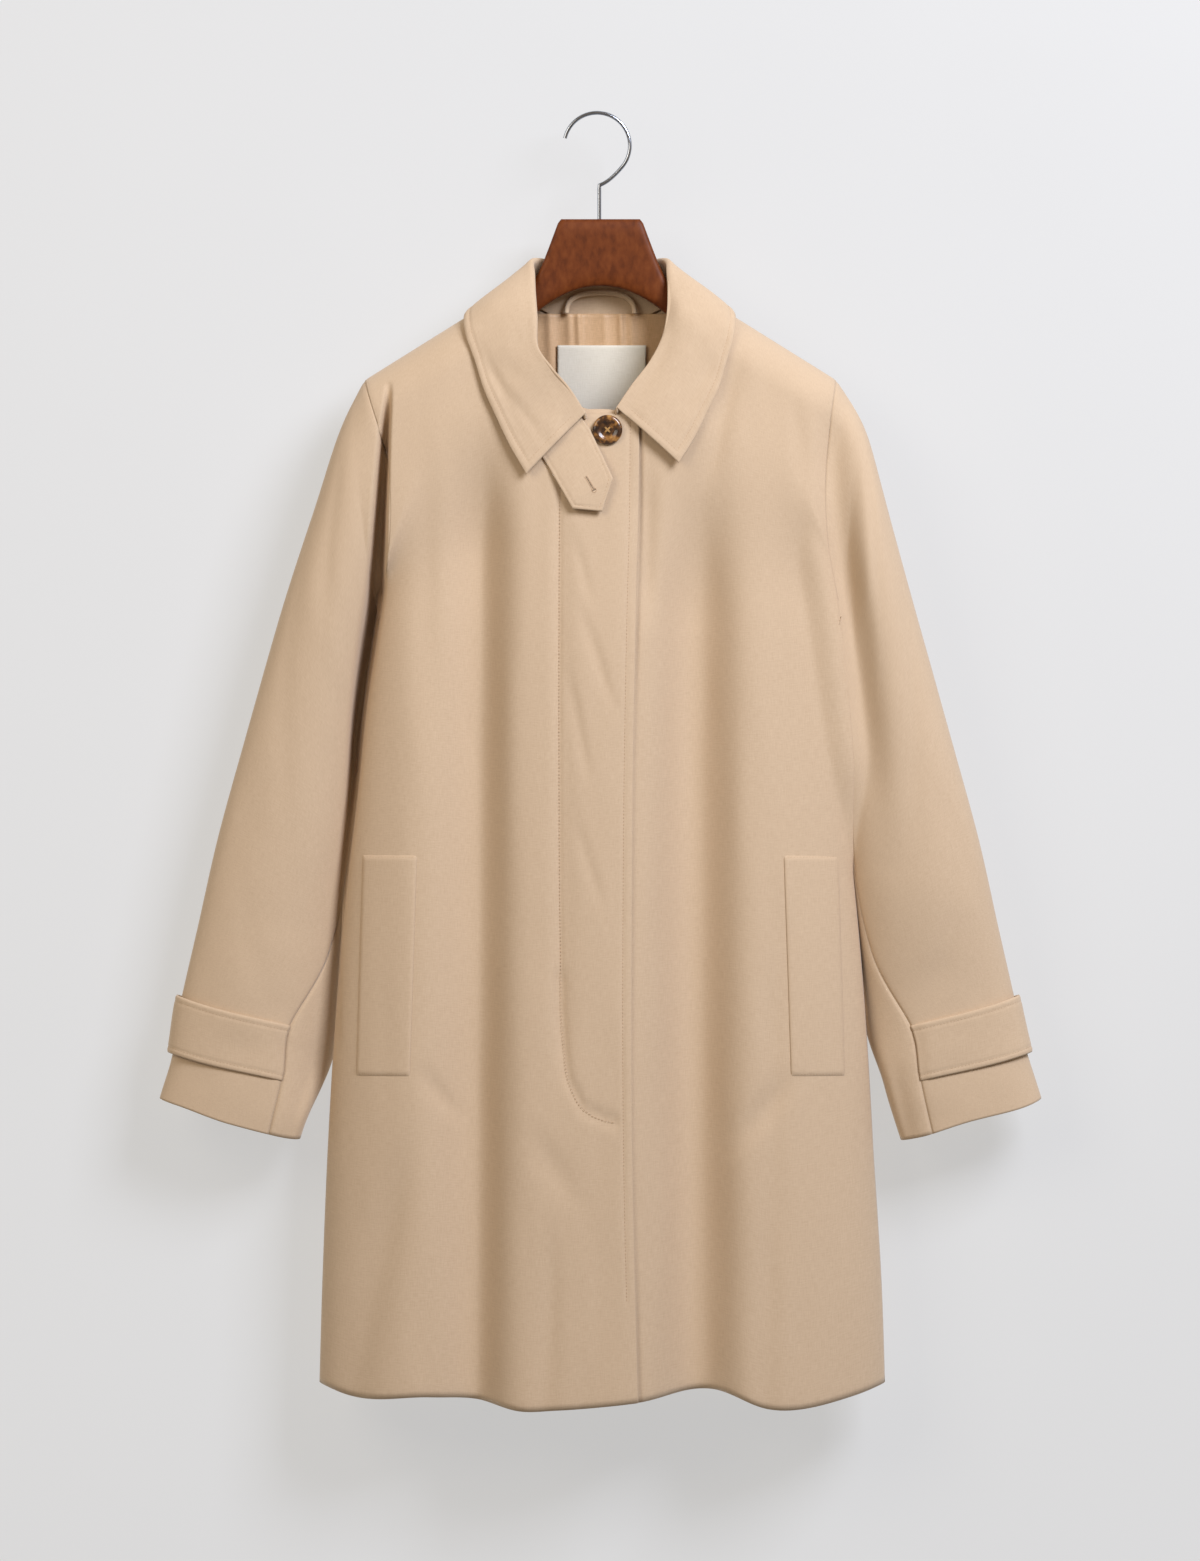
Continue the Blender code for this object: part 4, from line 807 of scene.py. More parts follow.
def sleeve_map(place, turn, sign):
    """Points of a sleeve: place runs to the cuff, turn goes from the outer edge round by the front."""
    share = (1 - np.cos(turn)) / 2
    front = np.sin(turn) >= 0
    hole_z = SHOULDER_TIP_Z - (SHOULDER_TIP_Z - UNDERARM_Z) * share
    hole_x = body_size(hole_z, 1)
    hole_y = np.where(front, body_y(hole_x, hole_z, -1), body_y(hole_x, hole_z, 1))
    ring = np.maximum(place, 0.5)
    x = sleeve_size(ring, 0) + (sleeve_size(ring, 2) - sleeve_size(ring, 0)) * share
    z = sleeve_size(ring, 1) + (sleeve_size(ring, 3) - sleeve_size(ring, 1)) * share
    reach = np.abs(np.sin(turn)) ** 0.65
    half = sleeve_size(ring, 4)
    for at, middle, slant, long, width, depth in SLEEVE_CREASES:
        along = (place - at) / long
        away = turn - middle - slant * (place - at)
        half = half - 0.5 * depth * bell(along, 1.0) * bell(away, 1.8 * width)
    half = half + ease((place - 0.6) / 1.5) * (0.9 * soft_noise(place, turn, 1.1, 0.7, 21 + sign)
                                              + 0.4 * soft_noise(place, turn, 0.4, 0.5, 31 + sign))
    y = sleeve_size(ring, 5) - np.where(front, 1.0, -1.0) * half * reach
    if sign > 0:
        y = y - LEFT_FORWARD * ease((place - 0.6) / 1.2) * (1.0 - ease((place - 5.0) / 2.0))
    x = x + (0.8 - 2.2 * sign) * (1 - share) * ease((place - 1.5) / 1.5) * (1 - ease((place - 7.0) / 1.5))
    tuck = share ** 4 * ease((place - 0.1) / 0.5) * (1.0 - ease((place - 6.9 + 0.4 * sign) / 1.5))
    x = x - SLEEVE_TUCK * tuck
    y = y + TUCK_BACK[sign] * tuck
    wave = 1.8 * soft_noise(turn, place, 0.8, 4.0, 41 + sign) - 3.0 * np.maximum(np.sin(turn), 0.0)
    z = z + wave * ease((place - 8.0) / 1.0)
    low = np.clip(place / 0.5, 0.0, 1.0)
    hole_x = hole_x - 2.4 * share ** 4 - 3.0 * share ** 16
    x = sign * (hole_x + (x - hole_x) * low)
    y = hole_y + (y - hole_y) * low
    z = hole_z + (z - hole_z) * low
    return left_swing(x, y, z, 0.8) if sign > 0 else right_pleat(x, y, z)


def place_sleeve(sign, top, first=0.0, last=SLEEVE_LAST):
    """Map of the top or the under sleeve between its two seams, and between two places."""
    def place(u, v):
        at = first + (last - first) * v
        seam = math.pi * table_curve(SEAM_ROWS, at, 0, 1)
        turn = seam * (1 - 2 * u) if top else seam + 2 * (math.pi - seam) * u
        return sleeve_map(at, turn, sign)
    return place


def press_sleeve(points, u, v):
    """Armhole seam and sleeve seams."""
    sides = seam_press(points, ("left", "right"), 0.8, 2.4) * ease((SLEEVE_LAST * v - 4.6) / 1.2)
    armhole = seam_press(points, ("top",), 0.9, 3.0) * ease((points[:, :, 2] + 340.0) / 70.0)
    return np.maximum(sides, armhole)


for sign, side in SIDES:
    for part, across, down, outward in (("top", 100, 210, sign), ("under", 32, 110, -sign)):
        cloth = grid_object(f"{side}_{part}_sleeve_cloth", across, down, place_sleeve(sign, part == "top"),
                            (outward, 0, 0), "gabardine", press_sleeve)[0]
        wear(cloth, [f"sleeve_{side}_{part}"])

# %% [markdown]
# A strap goes round the outer side of each cuff, caught in the front and back seams of the sleeve. It is
# two layers of cloth, stitched near both long edges, and it stands a little off the sleeve's outer edge.

# %% Cuff straps
STRAP_FIRST, STRAP_LAST, STRAP_WALL = 7.0, 8.06, 2.0
STRAP_INSET, STRAP_STAND_OFF, STRAP_SAG = 5.0, 3.0, 1.6


def place_strap(sign):
    """Map of a strap: the sleeve's own map, moved out along its normals."""
    def place(u, v):
        points = np.stack(place_sleeve(sign, True, STRAP_FIRST, STRAP_LAST)(u, v), axis=2)
        away = grid_normals(points, np.array((sign, 0, 0)))
        caught = ease(np.minimum(u, 1 - u) / 0.05)
        off = 0.7 * STRAP_WALL + 0.3 + STRAP_STAND_OFF * np.sin(math.pi * u) ** 3
        lift = 0.3 * STRAP_WALL + off * caught
        points = points + away * lift[:, :, None]
        points[:, :, 2] -= STRAP_SAG * np.sin(2 * math.pi * u) ** 2
        return points[:, :, 0], points[:, :, 1], points[:, :, 2]
    return place


def press_strap(points, u, v):
    """Stitch lines and rolled edges of a strap."""
    down = grid_lengths(points, 0)
    lines = np.maximum(bell(down - STRAP_INSET, 1.3), bell(down[-1:] - down - STRAP_INSET, 1.3))
    return 0.4 * lines + seam_press(points, ("top", "bottom"), 0.8, 1.2)


def end_stitches(points, normals, inset, skip=0, pitch=STITCH_PITCH):
    """Stitches an inset away from both ends of a grid, leaving out some columns at its sides."""
    columns = np.arange(skip, points.shape[1] - skip, dtype=float)
    places = []
    for from_end in (False, True):
        rows = inset_rows(points, inset, from_end)[skip:points.shape[1] - skip]
        places += stitch_places(*grid_line(points, normals, rows, columns), pitch=pitch)
    return places


for sign, side in SIDES:
    strap, points, normals = grid_object(f"{side}_strap_cloth", 140, 42, place_strap(sign), (sign, 0, 0),
                                         "gabardine", press_strap, STRAP_WALL)
    places = end_stitches(points, normals, STRAP_INSET)
    wear(strap, [f"cuff_strap_{side}"], [sew(f"{side}_strap_stitches", places)])

# %% [markdown]
# The collar is a stand that rises from the neckline and a fall that turns down over it, and both are one
# sheet here: it starts at the neckline, goes up the inside of the neck, rolls over and comes down to the
# leaf's edge. Its coarse points come from a table of the fold and the edge, kept clear of the body, and a
# spline surface through them gives the soft roll. The leaves are stitched 7 mm in from their edges.

# %% Collar
COLLAR_WALL, COLLAR_ROLL, COLLAR_INSET = 1.8, 6.0, 7.0
# fold: place across, depth and level; edge: place across and level; sag of the roll; from the centre back
# to the front end
COLLAR_ROWS = (
    (0.0, 22.5, -131.0, 0.0, -193.0, 0.0),
    (19.0, 22.0, -130.0, 27.5, -192.5, 0.05),
    (33.5, 20.0, -128.5, 54.5, -190.0, 0.12),
    (45.0, 16.0, -126.5, 79.0, -185.0, 0.26),
    (53.0, 10.0, -124.5, 98.0, -178.0, 0.4),
    (58.5, 0.0, -126.0, 111.0, -172.0, 0.47),
    (60.5, -9.0, -135.0, 113.0, -183.0, 0.34),
    (61.0, -17.0, -151.0, 110.5, -198.0, 0.2),
    (59.5, -24.0, -170.0, 106.0, -216.0, 0.15),
    (54.0, -30.0, -192.0, 99.0, -239.0, 0.18),
    (43.0, -35.0, -214.0, 89.0, -261.0, 0.26),
    (28.0, -39.0, -234.0, 77.5, -283.0, 0.38),
    (13.0, -42.5, -254.0, 64.0, -304.0, 0.48),
)
# how the two halves differ from the table in their front rows: place across, depth and level of the fold,
# place across and level of the edge
RIGHT_CHANGES = (
    (2.0, 0.0, 0.0, -5.0, 3.2), (-0.5, -3.0, -2.0, -2.5, 1.0), (-2.0, -7.0, -2.0, -0.5, 0.0),
    (-2.5, -12.0, -4.0, -0.5, 0.0), (1.5, -13.0, -8.0, -0.5, 0.0), (0.0, -12.0, -5.0, -0.5, -1.0),
    (-0.5, -6.0, -3.0, -1.0, -3.5), (0.0, -2.0, -5.0, -2.4, -7.5),
)
LEFT_CHANGES = (
    (1.0, 0.0, 0.0, -8.0, 5.0), (0.0, 0.0, 0.0, -4.0, 1.5), (0.0, 0.0, 0.0, -1.5, 0.0),
    (0.5, 0.0, 0.0, 0.0, 0.0), (1.0, 0.0, 0.0, 0.0, 0.0), (0.5, 0.0, 0.0, 0.0, 0.5),
    (0.0, 0.0, 0.0, 0.5, 1.0), (1.0, 0.0, 0.0, 1.0, 2.0),
)
# the collar lies close on the shoulder seam, and a little further off elsewhere
COLLAR_LIFTS = (2.6, 2.6, 2.4, 1.4, 0.6, 0.3, 0.8, 2.0, 2.8, 3.4, 4.2, 5.2, 6.2)
BACK_COLLAR_ROWS = 5
# where the collar's columns start on the neckline: places across behind, and angles round the front
BACK_NECK_XS = (0.0, 20.0, 38.0, 54.0, 67.0)
FRONT_NECK_ANGLES = (7, 18, 32, 48, 64, 80, 88)
# place across, level and slope of the faint creases in the leaves, their width and depth
LEAF_CREASES = (
    (-86.0, -232.0, -0.45, 5.0, 1.1), (-70.0, -250.0, -0.75, 6.0, 0.9), (88.0, -225.0, 0.5, 6.0, 0.7),
)


def clear_of_body(point, lift):
    """A point over the body, moved out until it is a lift away from the cloth."""
    point = np.array(point, float)
    face = -1 if point[1] < 0 else 1
    for _ in range(8):
        x, y, z = point
        over = z - shoulder_z(x)
        if over >= 0:
            point[2] += max(0.0, lift - over) if abs(y) < SHOULDER_ROUND / 2 else 0.0
            break
        gap = face * (y - body_y(x, z, face, False))
        slope_x = face * (body_y(x + 0.5, z, face, False) - body_y(x - 0.5, z, face, False))
        slope_z = face * (body_y(x, z + 0.5, face, False) - body_y(x, z - 0.5, face, False))
        way = np.array((-slope_x, face, -slope_z))
        steep = np.linalg.norm(way)
        if lift - gap / steep <= 0:
            break
        point = point + way / steep * (lift - gap / steep)
    return point


def unit(vector):
    """A vector of length 1."""
    return np.asarray(vector, float) / np.linalg.norm(vector)


def neck_foot(row):
    """The neckline under a row of the collar's table."""
    if row < BACK_COLLAR_ROWS:
        x = BACK_NECK_XS[row]
        z = back_neck_z(x)
        return np.array((x, body_y(x, z, 1), z))
    if row == BACK_COLLAR_ROWS:
        return np.array((NECK_POINT_X, 0.0, NECK_POINT_Z))
    angle = math.radians(FRONT_NECK_ANGLES[row - BACK_COLLAR_ROWS - 1])
    x = FRONT_NECK_FLAT + (NECK_POINT_X - FRONT_NECK_FLAT) * math.cos(angle)
    z = front_neck_z(x)
    return np.array((x, body_y(x, z, -1), z))


def collar_column(row, changes):
    """Points of the collar's outer side in one column, from the neckline up over the roll to the edge."""
    fold_x, fold_y, fold_z, edge_x, edge_z, sag = COLLAR_ROWS[row]
    if row >= BACK_COLLAR_ROWS:
        change = changes[row - BACK_COLLAR_ROWS]
        fold_x, fold_y, fold_z, edge_x, edge_z = np.add((fold_x, fold_y, fold_z, edge_x, edge_z), change)
    fold = np.array((fold_x, fold_y, fold_z))
    radial = unit(fold * (1, 1, 0))
    lift = COLLAR_LIFTS[row] + COLLAR_WALL
    edge = clear_of_body((edge_x, 1.0 if row < BACK_COLLAR_ROWS else -1.0, edge_z), lift)
    start = fold - radial * COLLAR_WALL + (0, 0, 1.0)
    middle = start + (edge - start) * (0.5, 0.55, sag) + (0, 0, COLLAR_ROLL * (1.0 - 2.0 * sag))
    crown = start + radial * 0.4 + (0, 0, COLLAR_WALL)
    inside = start - radial * 2.4 - (0, 0, 2.2)
    foot = neck_foot(row) - radial * 3.4
    points = [foot, foot * 0.55 + inside * 0.45, inside, crown]
    for t in (0.14, 0.28, 0.43, 0.57, 0.71, 0.86, 1.0):
        point = start * (1 - t) ** 2 + middle * 2 * t * (1 - t) + edge * t * t
        point = point + (0, 0, COLLAR_WALL * (1 - t))
        points.append(clear_of_body(point, lift * ease(t / 0.4)))
    return points


def spline_weights(part):
    """Weights of four points in a row for a smooth curve between the middle two."""
    a, b, c = part, part * part, part ** 3
    return (-a + 2 * b - c) / 2, (2 - 5 * b + 3 * c) / 2, (a + 4 * b - 3 * c) / 2, (c - b) / 2


def spline_surface(coarse, u, v):
    """A smooth surface through a coarse grid of points, read at many places."""
    rows, columns = coarse.shape[:2]
    at_row = v * (rows - 1)
    at_column = u * (columns - 1)
    i = np.clip(np.floor(at_row).astype(int), 0, rows - 2)
    j = np.clip(np.floor(at_column).astype(int), 0, columns - 2)
    total = np.zeros(u.shape + (3,))
    for a, weight_a in zip((-1, 0, 1, 2), spline_weights(at_row - i)):
        for b, weight_b in zip((-1, 0, 1, 2), spline_weights(at_column - j)):
            near = coarse[np.clip(i + a, 0, rows - 1), np.clip(j + b, 0, columns - 1)]
            total += near * (weight_a * weight_b)[..., None]
    return total


halves = [np.array([collar_column(row, changes) for row in range(len(COLLAR_ROWS))]).transpose(1, 0, 2)
          for changes in (RIGHT_CHANGES, LEFT_CHANGES)]
collar_coarse = np.concatenate((halves[0][:, :0:-1] * (-1, 1, 1), halves[1]), axis=1)


def place_collar(u, v):
    """Map of the collar, from one front end round the back to the other."""
    points = spline_surface(collar_coarse, u, v)
    x, y, z = points[..., 0], points[..., 1], points[..., 2]
    on_leaf = ease((v - 0.5) / 0.2) * ease((-y - 12.0) / 10.0)
    crease = 0.8 * soft_noise(x, z, 24.0, 20.0, 51)
    for middle, level, slope, width, depth in LEAF_CREASES:
        along = z - level
        crease = crease + depth * bell(x - middle - slope * along, width) * bell(along, 30.0)
    return x, y + crease * on_leaf, z


def free_edge_distance(points):
    """Distance of each point of a grid from its last row, or from either side where that is nearer."""
    down = grid_lengths(points, 0)
    across = grid_lengths(points, 1)
    return np.minimum(np.minimum(down[-1:] - down, across), across[:, -1:] - across)


def press_collar(points, u, v):
    """Topstitch line and rolled edges of the leaves."""
    from_edge = free_edge_distance(points)
    on_fall = ease((v - 0.35) / 0.1)
    line = 0.5 * bell(from_edge - COLLAR_INSET, 1.5)
    edge = 0.7 * bell(from_edge, 1.4)
    return (line + edge) * on_fall


collar, points, normals = grid_object("collar_cloth", 300, 110, place_collar, (0, -0.2, 1), "gabardine",
                                      press_collar, COLLAR_WALL)
columns = inset_columns(points, COLLAR_INSET, False)
far_columns = inset_columns(points, COLLAR_INSET, True)
rows = inset_rows(points, COLLAR_INSET, True)
last = int(rows[int(columns[-12])])
first = int(0.42 * points.shape[0])
down = np.arange(first, last + 1, dtype=float)
along = np.arange(int(columns[last]) + 1, int(far_columns[last]), dtype=float)
path_rows = np.concatenate((down, rows[along.astype(int)], down[::-1]))
path_columns = np.concatenate((columns[first:last + 1], along, far_columns[first:last + 1][::-1]))
places = stitch_places(*grid_line(points, normals, path_rows, path_columns))
wear(collar, ["collar_fall", "collar_stand"], [sew("collar_stitches", places)])

# %% [markdown]
# The throat tab hangs unbuttoned from under the right collar leaf, slanted across the fly. It is two layers
# of cloth with a pointed end, stitched 3 mm in, and a keyhole buttonhole worked in thread near its point.
# The open slit of the buttonhole is painted shade: rows of near-black bars where the opening is dark.

# %% Throat tab
TAB_WALL, TAB_INSET = 1.6, 3.2
# left edge: place across and level; right edge: the same; lift off the cloth
TAB_ROWS = (
    (-50.5, -292.0, -16.0, -259.5, 0.4),
    (-45.0, -300.5, -9.0, -269.0, 0.8),
    (-38.5, -312.0, -2.5, -283.0, 3.0),
    (-31.0, -325.0, 6.0, -301.0, 5.0),
    (-27.0, -332.0, 10.6, -311.5, 5.6),
    (-24.0, -337.0, 1.3, -339.6, 5.0),
)


def tab_places(u, v):
    """Places across, levels and lifts of the tab."""
    table = np.array(TAB_ROWS)
    at = v * (len(table) - 1)
    columns = (np.interp(at, range(len(table)), column) for column in table.T)
    left_x, left_z, right_x, right_z, lift = columns
    return left_x + (right_x - left_x) * u, left_z + (right_z - left_z) * u, lift


def place_tab(u, v):
    """Map of the tab, over the right front."""
    x, z, lift = tab_places(u, v)
    return x, body_y(x, z, -1) - lift - TAB_WALL, z


def press_tab(points, u, v):
    """Topstitch line and rolled edges of the tab."""
    from_edge = free_edge_distance(points)
    return 0.4 * bell(from_edge - TAB_INSET, 1.0) + 0.6 * bell(from_edge, 1.0)


tab, points, normals = grid_object("throat_tab_cloth", 44, 90, place_tab, (0, -1, 0), "gabardine",
                                   press_tab, TAB_WALL)
# the outline of the tab's free end, from its left root round the point to its right root
TAB_OUTLINE = ((-38.5, -312.0), (-24.0, -337.0), (1.3, -339.6), (10.6, -311.5), (-9.0, -269.0))


def inset_outline(outline, inset):
    """An open outline moved in to its left-hand side, with its corners kept."""
    outline = np.array(outline, float)
    way = np.diff(outline, axis=0)
    way = way / np.linalg.norm(way, axis=1, keepdims=True)
    side = np.stack((-way[:, 1], way[:, 0]), axis=1) * inset
    corners = [outline[0] + side[0]]
    for k in range(1, len(outline) - 1):
        mitre = side[k - 1] + side[k]
        corners.append(outline[k] + mitre * inset ** 2 / (mitre @ side[k]))
    corners.append(outline[-1] + side[-1])
    return np.array(corners)


def tab_line(line):
    """Points and normals on the tab along a line of places across and levels."""
    grid_x = points[:, :, 0] - CENTRE_X
    grid_z = points[:, :, 2]
    near = [np.argmin((grid_x - x) ** 2 + (grid_z - z) ** 2) for x, z in line]
    depth = points[:, :, 1].ravel()[near]
    return np.stack((line[:, 0] + CENTRE_X, depth, line[:, 1]), axis=1), normals.reshape(-1, 3)[near]


def straight_runs(corners, step):
    """Points every step along straight lines between corners."""
    corners = np.array(corners, float)
    key = run_lengths(corners)
    at = np.linspace(0.0, key[-1], int(key[-1] / step) + 1)
    return np.stack([np.interp(at, key, corners[:, k]) for k in range(2)], axis=1)


tab_stitches = stitch_places(*tab_line(straight_runs(inset_outline(TAB_OUTLINE, TAB_INSET), 1.0)))
# buttonhole: its two ends, half the width between its lips, size of its eye
HOLE_START, HOLE_END, LIP, EYE = (-12.3, -310.0), (-5.5, -321.5), 0.9, 1.9
hole_way = unit(np.subtract(HOLE_END, HOLE_START))
hole_side = np.array((-hole_way[1], hole_way[0]))
for edge in (-LIP, LIP):
    lip = straight_runs((HOLE_START + hole_side * edge, HOLE_END + hole_side * edge), 0.5)
    tab_stitches += stitch_places(*tab_line(lip), pitch=1.0, sink=-0.1)
turns = np.linspace(-2.6, 2.6, 12)
eye = [HOLE_END + EYE * (math.cos(turn) * hole_way + math.sin(turn) * hole_side) for turn in turns]
tab_stitches += stitch_places(*tab_line(straight_runs(eye, 0.5)), pitch=1.0, sink=-0.1)
# painted shade: the slit and the bar across the eye are near-black bars that stand for the dark opening
slit = stitch_places(*tab_line(straight_runs((HOLE_START, HOLE_END), 0.5)), pitch=1.0, sink=0.0)
across = (HOLE_END - hole_side * 1.3, HOLE_END + hole_side * 1.3)
slit += stitch_places(*tab_line(straight_runs(across, 0.2)), pitch=0.5, sink=0.0)
slit = sew("buttonhole_slit", slit, "slit_painted_shade")
wear(tab, ["throat_tab"], [sew("tab_stitches", tab_stitches), slit])

# %% [markdown]
# Each side pocket opens behind an upright welt: a folded band sewn on the front near the side seam. Its
# ends and its outer edge are stitched down, and its folded inner edge stands up a little.

# %% Pocket welts
# inner and outer place across and level of a welt's top and bottom
WELT_TOP, WELT_BOTTOM, WELT_WALL = (155.0, 203.0, -630.0), (161.0, 208.5, -819.0), 1.1
WELT_LENGTH, WELT_WIDTH, WELT_INSET = 189.0, 48.0, 2.5


def place_welt(sign):
    """Map of a welt over its front."""
    def place(u, v):
        inner, outer, z = (a + (b - a) * v for a, b in zip(WELT_TOP, WELT_BOTTOM))
        x = sign * (inner + (outer - inner) * u)
        stitched = np.minimum(np.minimum(v, 1 - v) * WELT_LENGTH, (1 - u) * WELT_WIDTH)
        lift = 0.1 + WELT_WALL * (0.3 + 0.7 * ease(stitched / 4.0))
        return x + sign * 0.5 * lift, body_y(x, z, -1) - lift, z
    return place


def press_welt(points, u, v):
    """Rolled edges of a welt, and the stitches that hold its ends."""
    down = grid_lengths(points, 0)
    ends = np.minimum(down, down[-1:] - down)
    edges = seam_press(points, ("left", "right", "top", "bottom"), 0.9, 1.3)
    return edges + 0.35 * bell(ends - WELT_INSET, 1.1)


for sign, side in SIDES:
    welt, points, normals = grid_object(f"{side}_welt_cloth", 40, 120, place_welt(sign), (0, -1, 0),
                                        "gabardine", press_welt, WELT_WALL)
    places = end_stitches(points, normals, WELT_INSET, 2, 2.8)
    wear(welt, [f"pocket_welt_{side}"], [sew(f"{side}_welt_stitches", places)])

# %% [markdown]
# The button at the throat is turned from horn: a thick rim round a shallow dish, sewn on with a cross of
# thread that covers its four holes. Its colours lie in it as blots, dark brown with a few amber ones, so
# they are noise in space, not in a map of the surface.

# %% Button
def horn_look():
    """Dark polished horn with amber blots."""
    made, nodes, links, shader = blank_material("horn")
    place = nodes.new("ShaderNodeTexCoord")
    blot = stretched_noise(nodes, links, place.outputs["Object"], (170.0, 170.0, 170.0), 2.5)
    stops = ((0.36, (0.028, 0.013, 0.007)), (0.50, (0.085, 0.037, 0.013)),
             (0.60, (0.30, 0.135, 0.035)), (0.74, (0.50, 0.28, 0.085)))
    links.new(colour_ramp(nodes, links, blot, stops), shader.inputs["Base Color"])
    shader.inputs["Roughness"].default_value = 0.22
    shader.inputs["Coat Weight"].default_value = 0.3
    return made


BUTTON_X, BUTTON_Z, BUTTON_R, BUTTON_STEPS = 5.9, -270.0, 12.7, 64
# distance from the axis and height of the turned outline
BUTTON_OUTLINE = (
    (0.0, 2.3), (5.4, 2.3), (6.9, 2.55), (7.8, 3.2), (8.6, 3.5), (10.0, 3.6), (11.3, 3.3), (12.2, 2.7),
    (12.65, 1.9), (12.4, 1.1), (11.3, 0.3), (9.0, 0.0), (0.0, 0.0),
)
LOOKS["horn"] = horn_look()


def finished(name, bm, look, slot, *nodes):
    """A bmesh in millimetres as a smooth piece that goes with the coat."""
    bmesh.ops.scale(bm, vec=(MM, MM, MM), verts=bm.verts)
    bmesh.ops.recalc_face_normals(bm, faces=bm.faces)
    made = mesh_object(name, bm, LOOKS[look])
    carry(made, nodes)
    print(name, len(made.data.polygons), "faces")


spread = np.linspace(-BUTTON_R, BUTTON_R, 5)
button_seat = body_y(BUTTON_X + spread[:, None], BUTTON_Z + spread[None, :], -1).min() - 0.3
button_place = Vector((CENTRE_X + BUTTON_X, button_seat, BUTTON_Z))
to_front = Matrix.Rotation(math.radians(90), 3, "X")
bm = bmesh.new()
line = [bm.verts.new((r, 0.0, h)) for r, h in BUTTON_OUTLINE]
edges = [bm.edges.new(pair) for pair in zip(line, line[1:])]
bmesh.ops.spin(bm, geom=line + edges, cent=(0, 0, 0), axis=(0, 0, 1), angle=2 * math.pi,
               steps=BUTTON_STEPS, use_merge=True)
bmesh.ops.remove_doubles(bm, verts=bm.verts, dist=0.001)
bmesh.ops.rotate(bm, verts=bm.verts, cent=(0, 0, 0), matrix=to_front)
bmesh.ops.translate(bm, verts=bm.verts, vec=button_place)
finished("throat_button_horn", bm, "horn", "horn", "throat_button")

# half the spread of the holes, height of the thread over the button's seat, half its width, gap of strands
HOLE, THREAD_UP, THREAD_R, STRAND_GAP = 2.3, 2.75, 0.38, 0.45
bm = bmesh.new()
bm.loops.layers.uv.new("weave")
for start, end in (((-HOLE, -HOLE), (HOLE, HOLE)), ((-HOLE, HOLE), (HOLE, -HOLE))):
    for strand in (-STRAND_GAP, 0.0, STRAND_GAP):
        way = Vector((end[0] - start[0], 0.0, end[1] - start[1])).normalized()
        side = Vector((way.z, 0.0, -way.x))
        turn = Matrix((way, side, way.cross(side))).transposed().to_4x4()
        middle = button_place + Vector((0, -THREAD_UP, 0)) + side * strand
        size = Matrix.Diagonal((HOLE * 1.45, THREAD_R, THREAD_R, 1.0))
        place = Matrix.Translation(middle) @ turn @ size
        bmesh.ops.create_icosphere(bm, subdivisions=2, radius=1.0, matrix=place)
finished("button_thread", bm, "gold_thread", "gabardine")

# %% [markdown]
# Inside the back neck the satin lining hangs in small pleats below the neck facing. A bare woven label is
# sewn on it, and a narrow tube of the coat's own cloth is caught in the neck seam as a hanging loop.

# %% Lining, label and loop
LINING_HALF_WIDTH, LINING_TOP_Z, LINING_BOTTOM_Z, LINING_WALL = 94.0, -168.5, -345.0, 0.9
# place across, width and depth of each pleat
PLEATS = (
    (-44.0, 4.0, 2.2), (-27.0, 3.2, 1.6), (-19.0, 3.0, 2.4),
    (3.0, 3.0, 1.2), (17.0, 3.0, 2.6), (26.0, 3.4, 1.6),
)
# how far the pleats lean over their length, and how far the lining lies off the cloth's inside
PLEAT_LEAN, LINING_GAP = 6.0, 2.0
LABEL_LEFT, LABEL_WIDTH, LABEL_TOP_Z, LABEL_HEIGHT = -37.0, 76.0, -195.5, 66.5
LABEL_INSET, LABEL_WALL = 7.6, 0.8


def inside_back(x, z, inset):
    """Depth of a place inside the back, an inset in from the cloth's outer surface."""
    plain = body_size(z, 3)
    below = np.clip((shoulder_z(x) - 1.2 * inset - z) / SHOULDER_ROUND, 0.0, 1.0)
    top = np.sqrt(np.maximum(0.0, 1.0 - (1.0 - below) ** 2))
    n = np.abs(x) / body_size(z, 1)
    return (plain - inset) * top * (1.0 - 0.15 * n ** SIDE_POWER)


def place_lining(u, v):
    """Map of the lining that shows inside the back neck."""
    x = LINING_HALF_WIDTH * (2 * u - 1)
    z = LINING_TOP_Z + (LINING_BOTTOM_Z - LINING_TOP_Z) * v
    pleat = sum(depth * bell(x - at - PLEAT_LEAN * v, width) for at, width, depth in PLEATS)
    pleat = pleat * (1.0 - 0.6 * ease(v / 0.4))
    fine = 0.35 * soft_noise(x, z, 7.0, 90.0, 61)
    return x, inside_back(x, z, WALL + LINING_GAP + LINING_WALL) - pleat - fine, z


def place_label(u, v):
    """Map of the bare label."""
    x = LABEL_LEFT + LABEL_WIDTH * u
    z = LABEL_TOP_Z - LABEL_HEIGHT * v
    return x, inside_back(x, z, LABEL_INSET) - 0.3 * soft_noise(x, z, 30.0, 30.0, 71), z


def press_label(points, u, v):
    """Sewn edges of the label."""
    return seam_press(points, ("left", "right", "top"), 0.5, 1.0)


lining = grid_object("neck_lining_cloth", 180, 60, place_lining, (0, -1, 0), "lining_satin", None,
                     LINING_WALL)[0]
wear(lining, ["neck_lining"])
label = grid_object("neck_label_cloth", 48, 40, place_label, (0, -1, 0), "label_cloth", press_label,
                    LABEL_WALL)[0]
wear(label, ["neck_label"])

LOOP_Y, LOOP_R, LOOP_HALF, LOOP_FOOT_Z, LOOP_TOP_Z = 17.5, 2.2, 29.0, -168.5, -151.0
LOOP_WALL, LOOP_ROUND = 0.8, 0.75


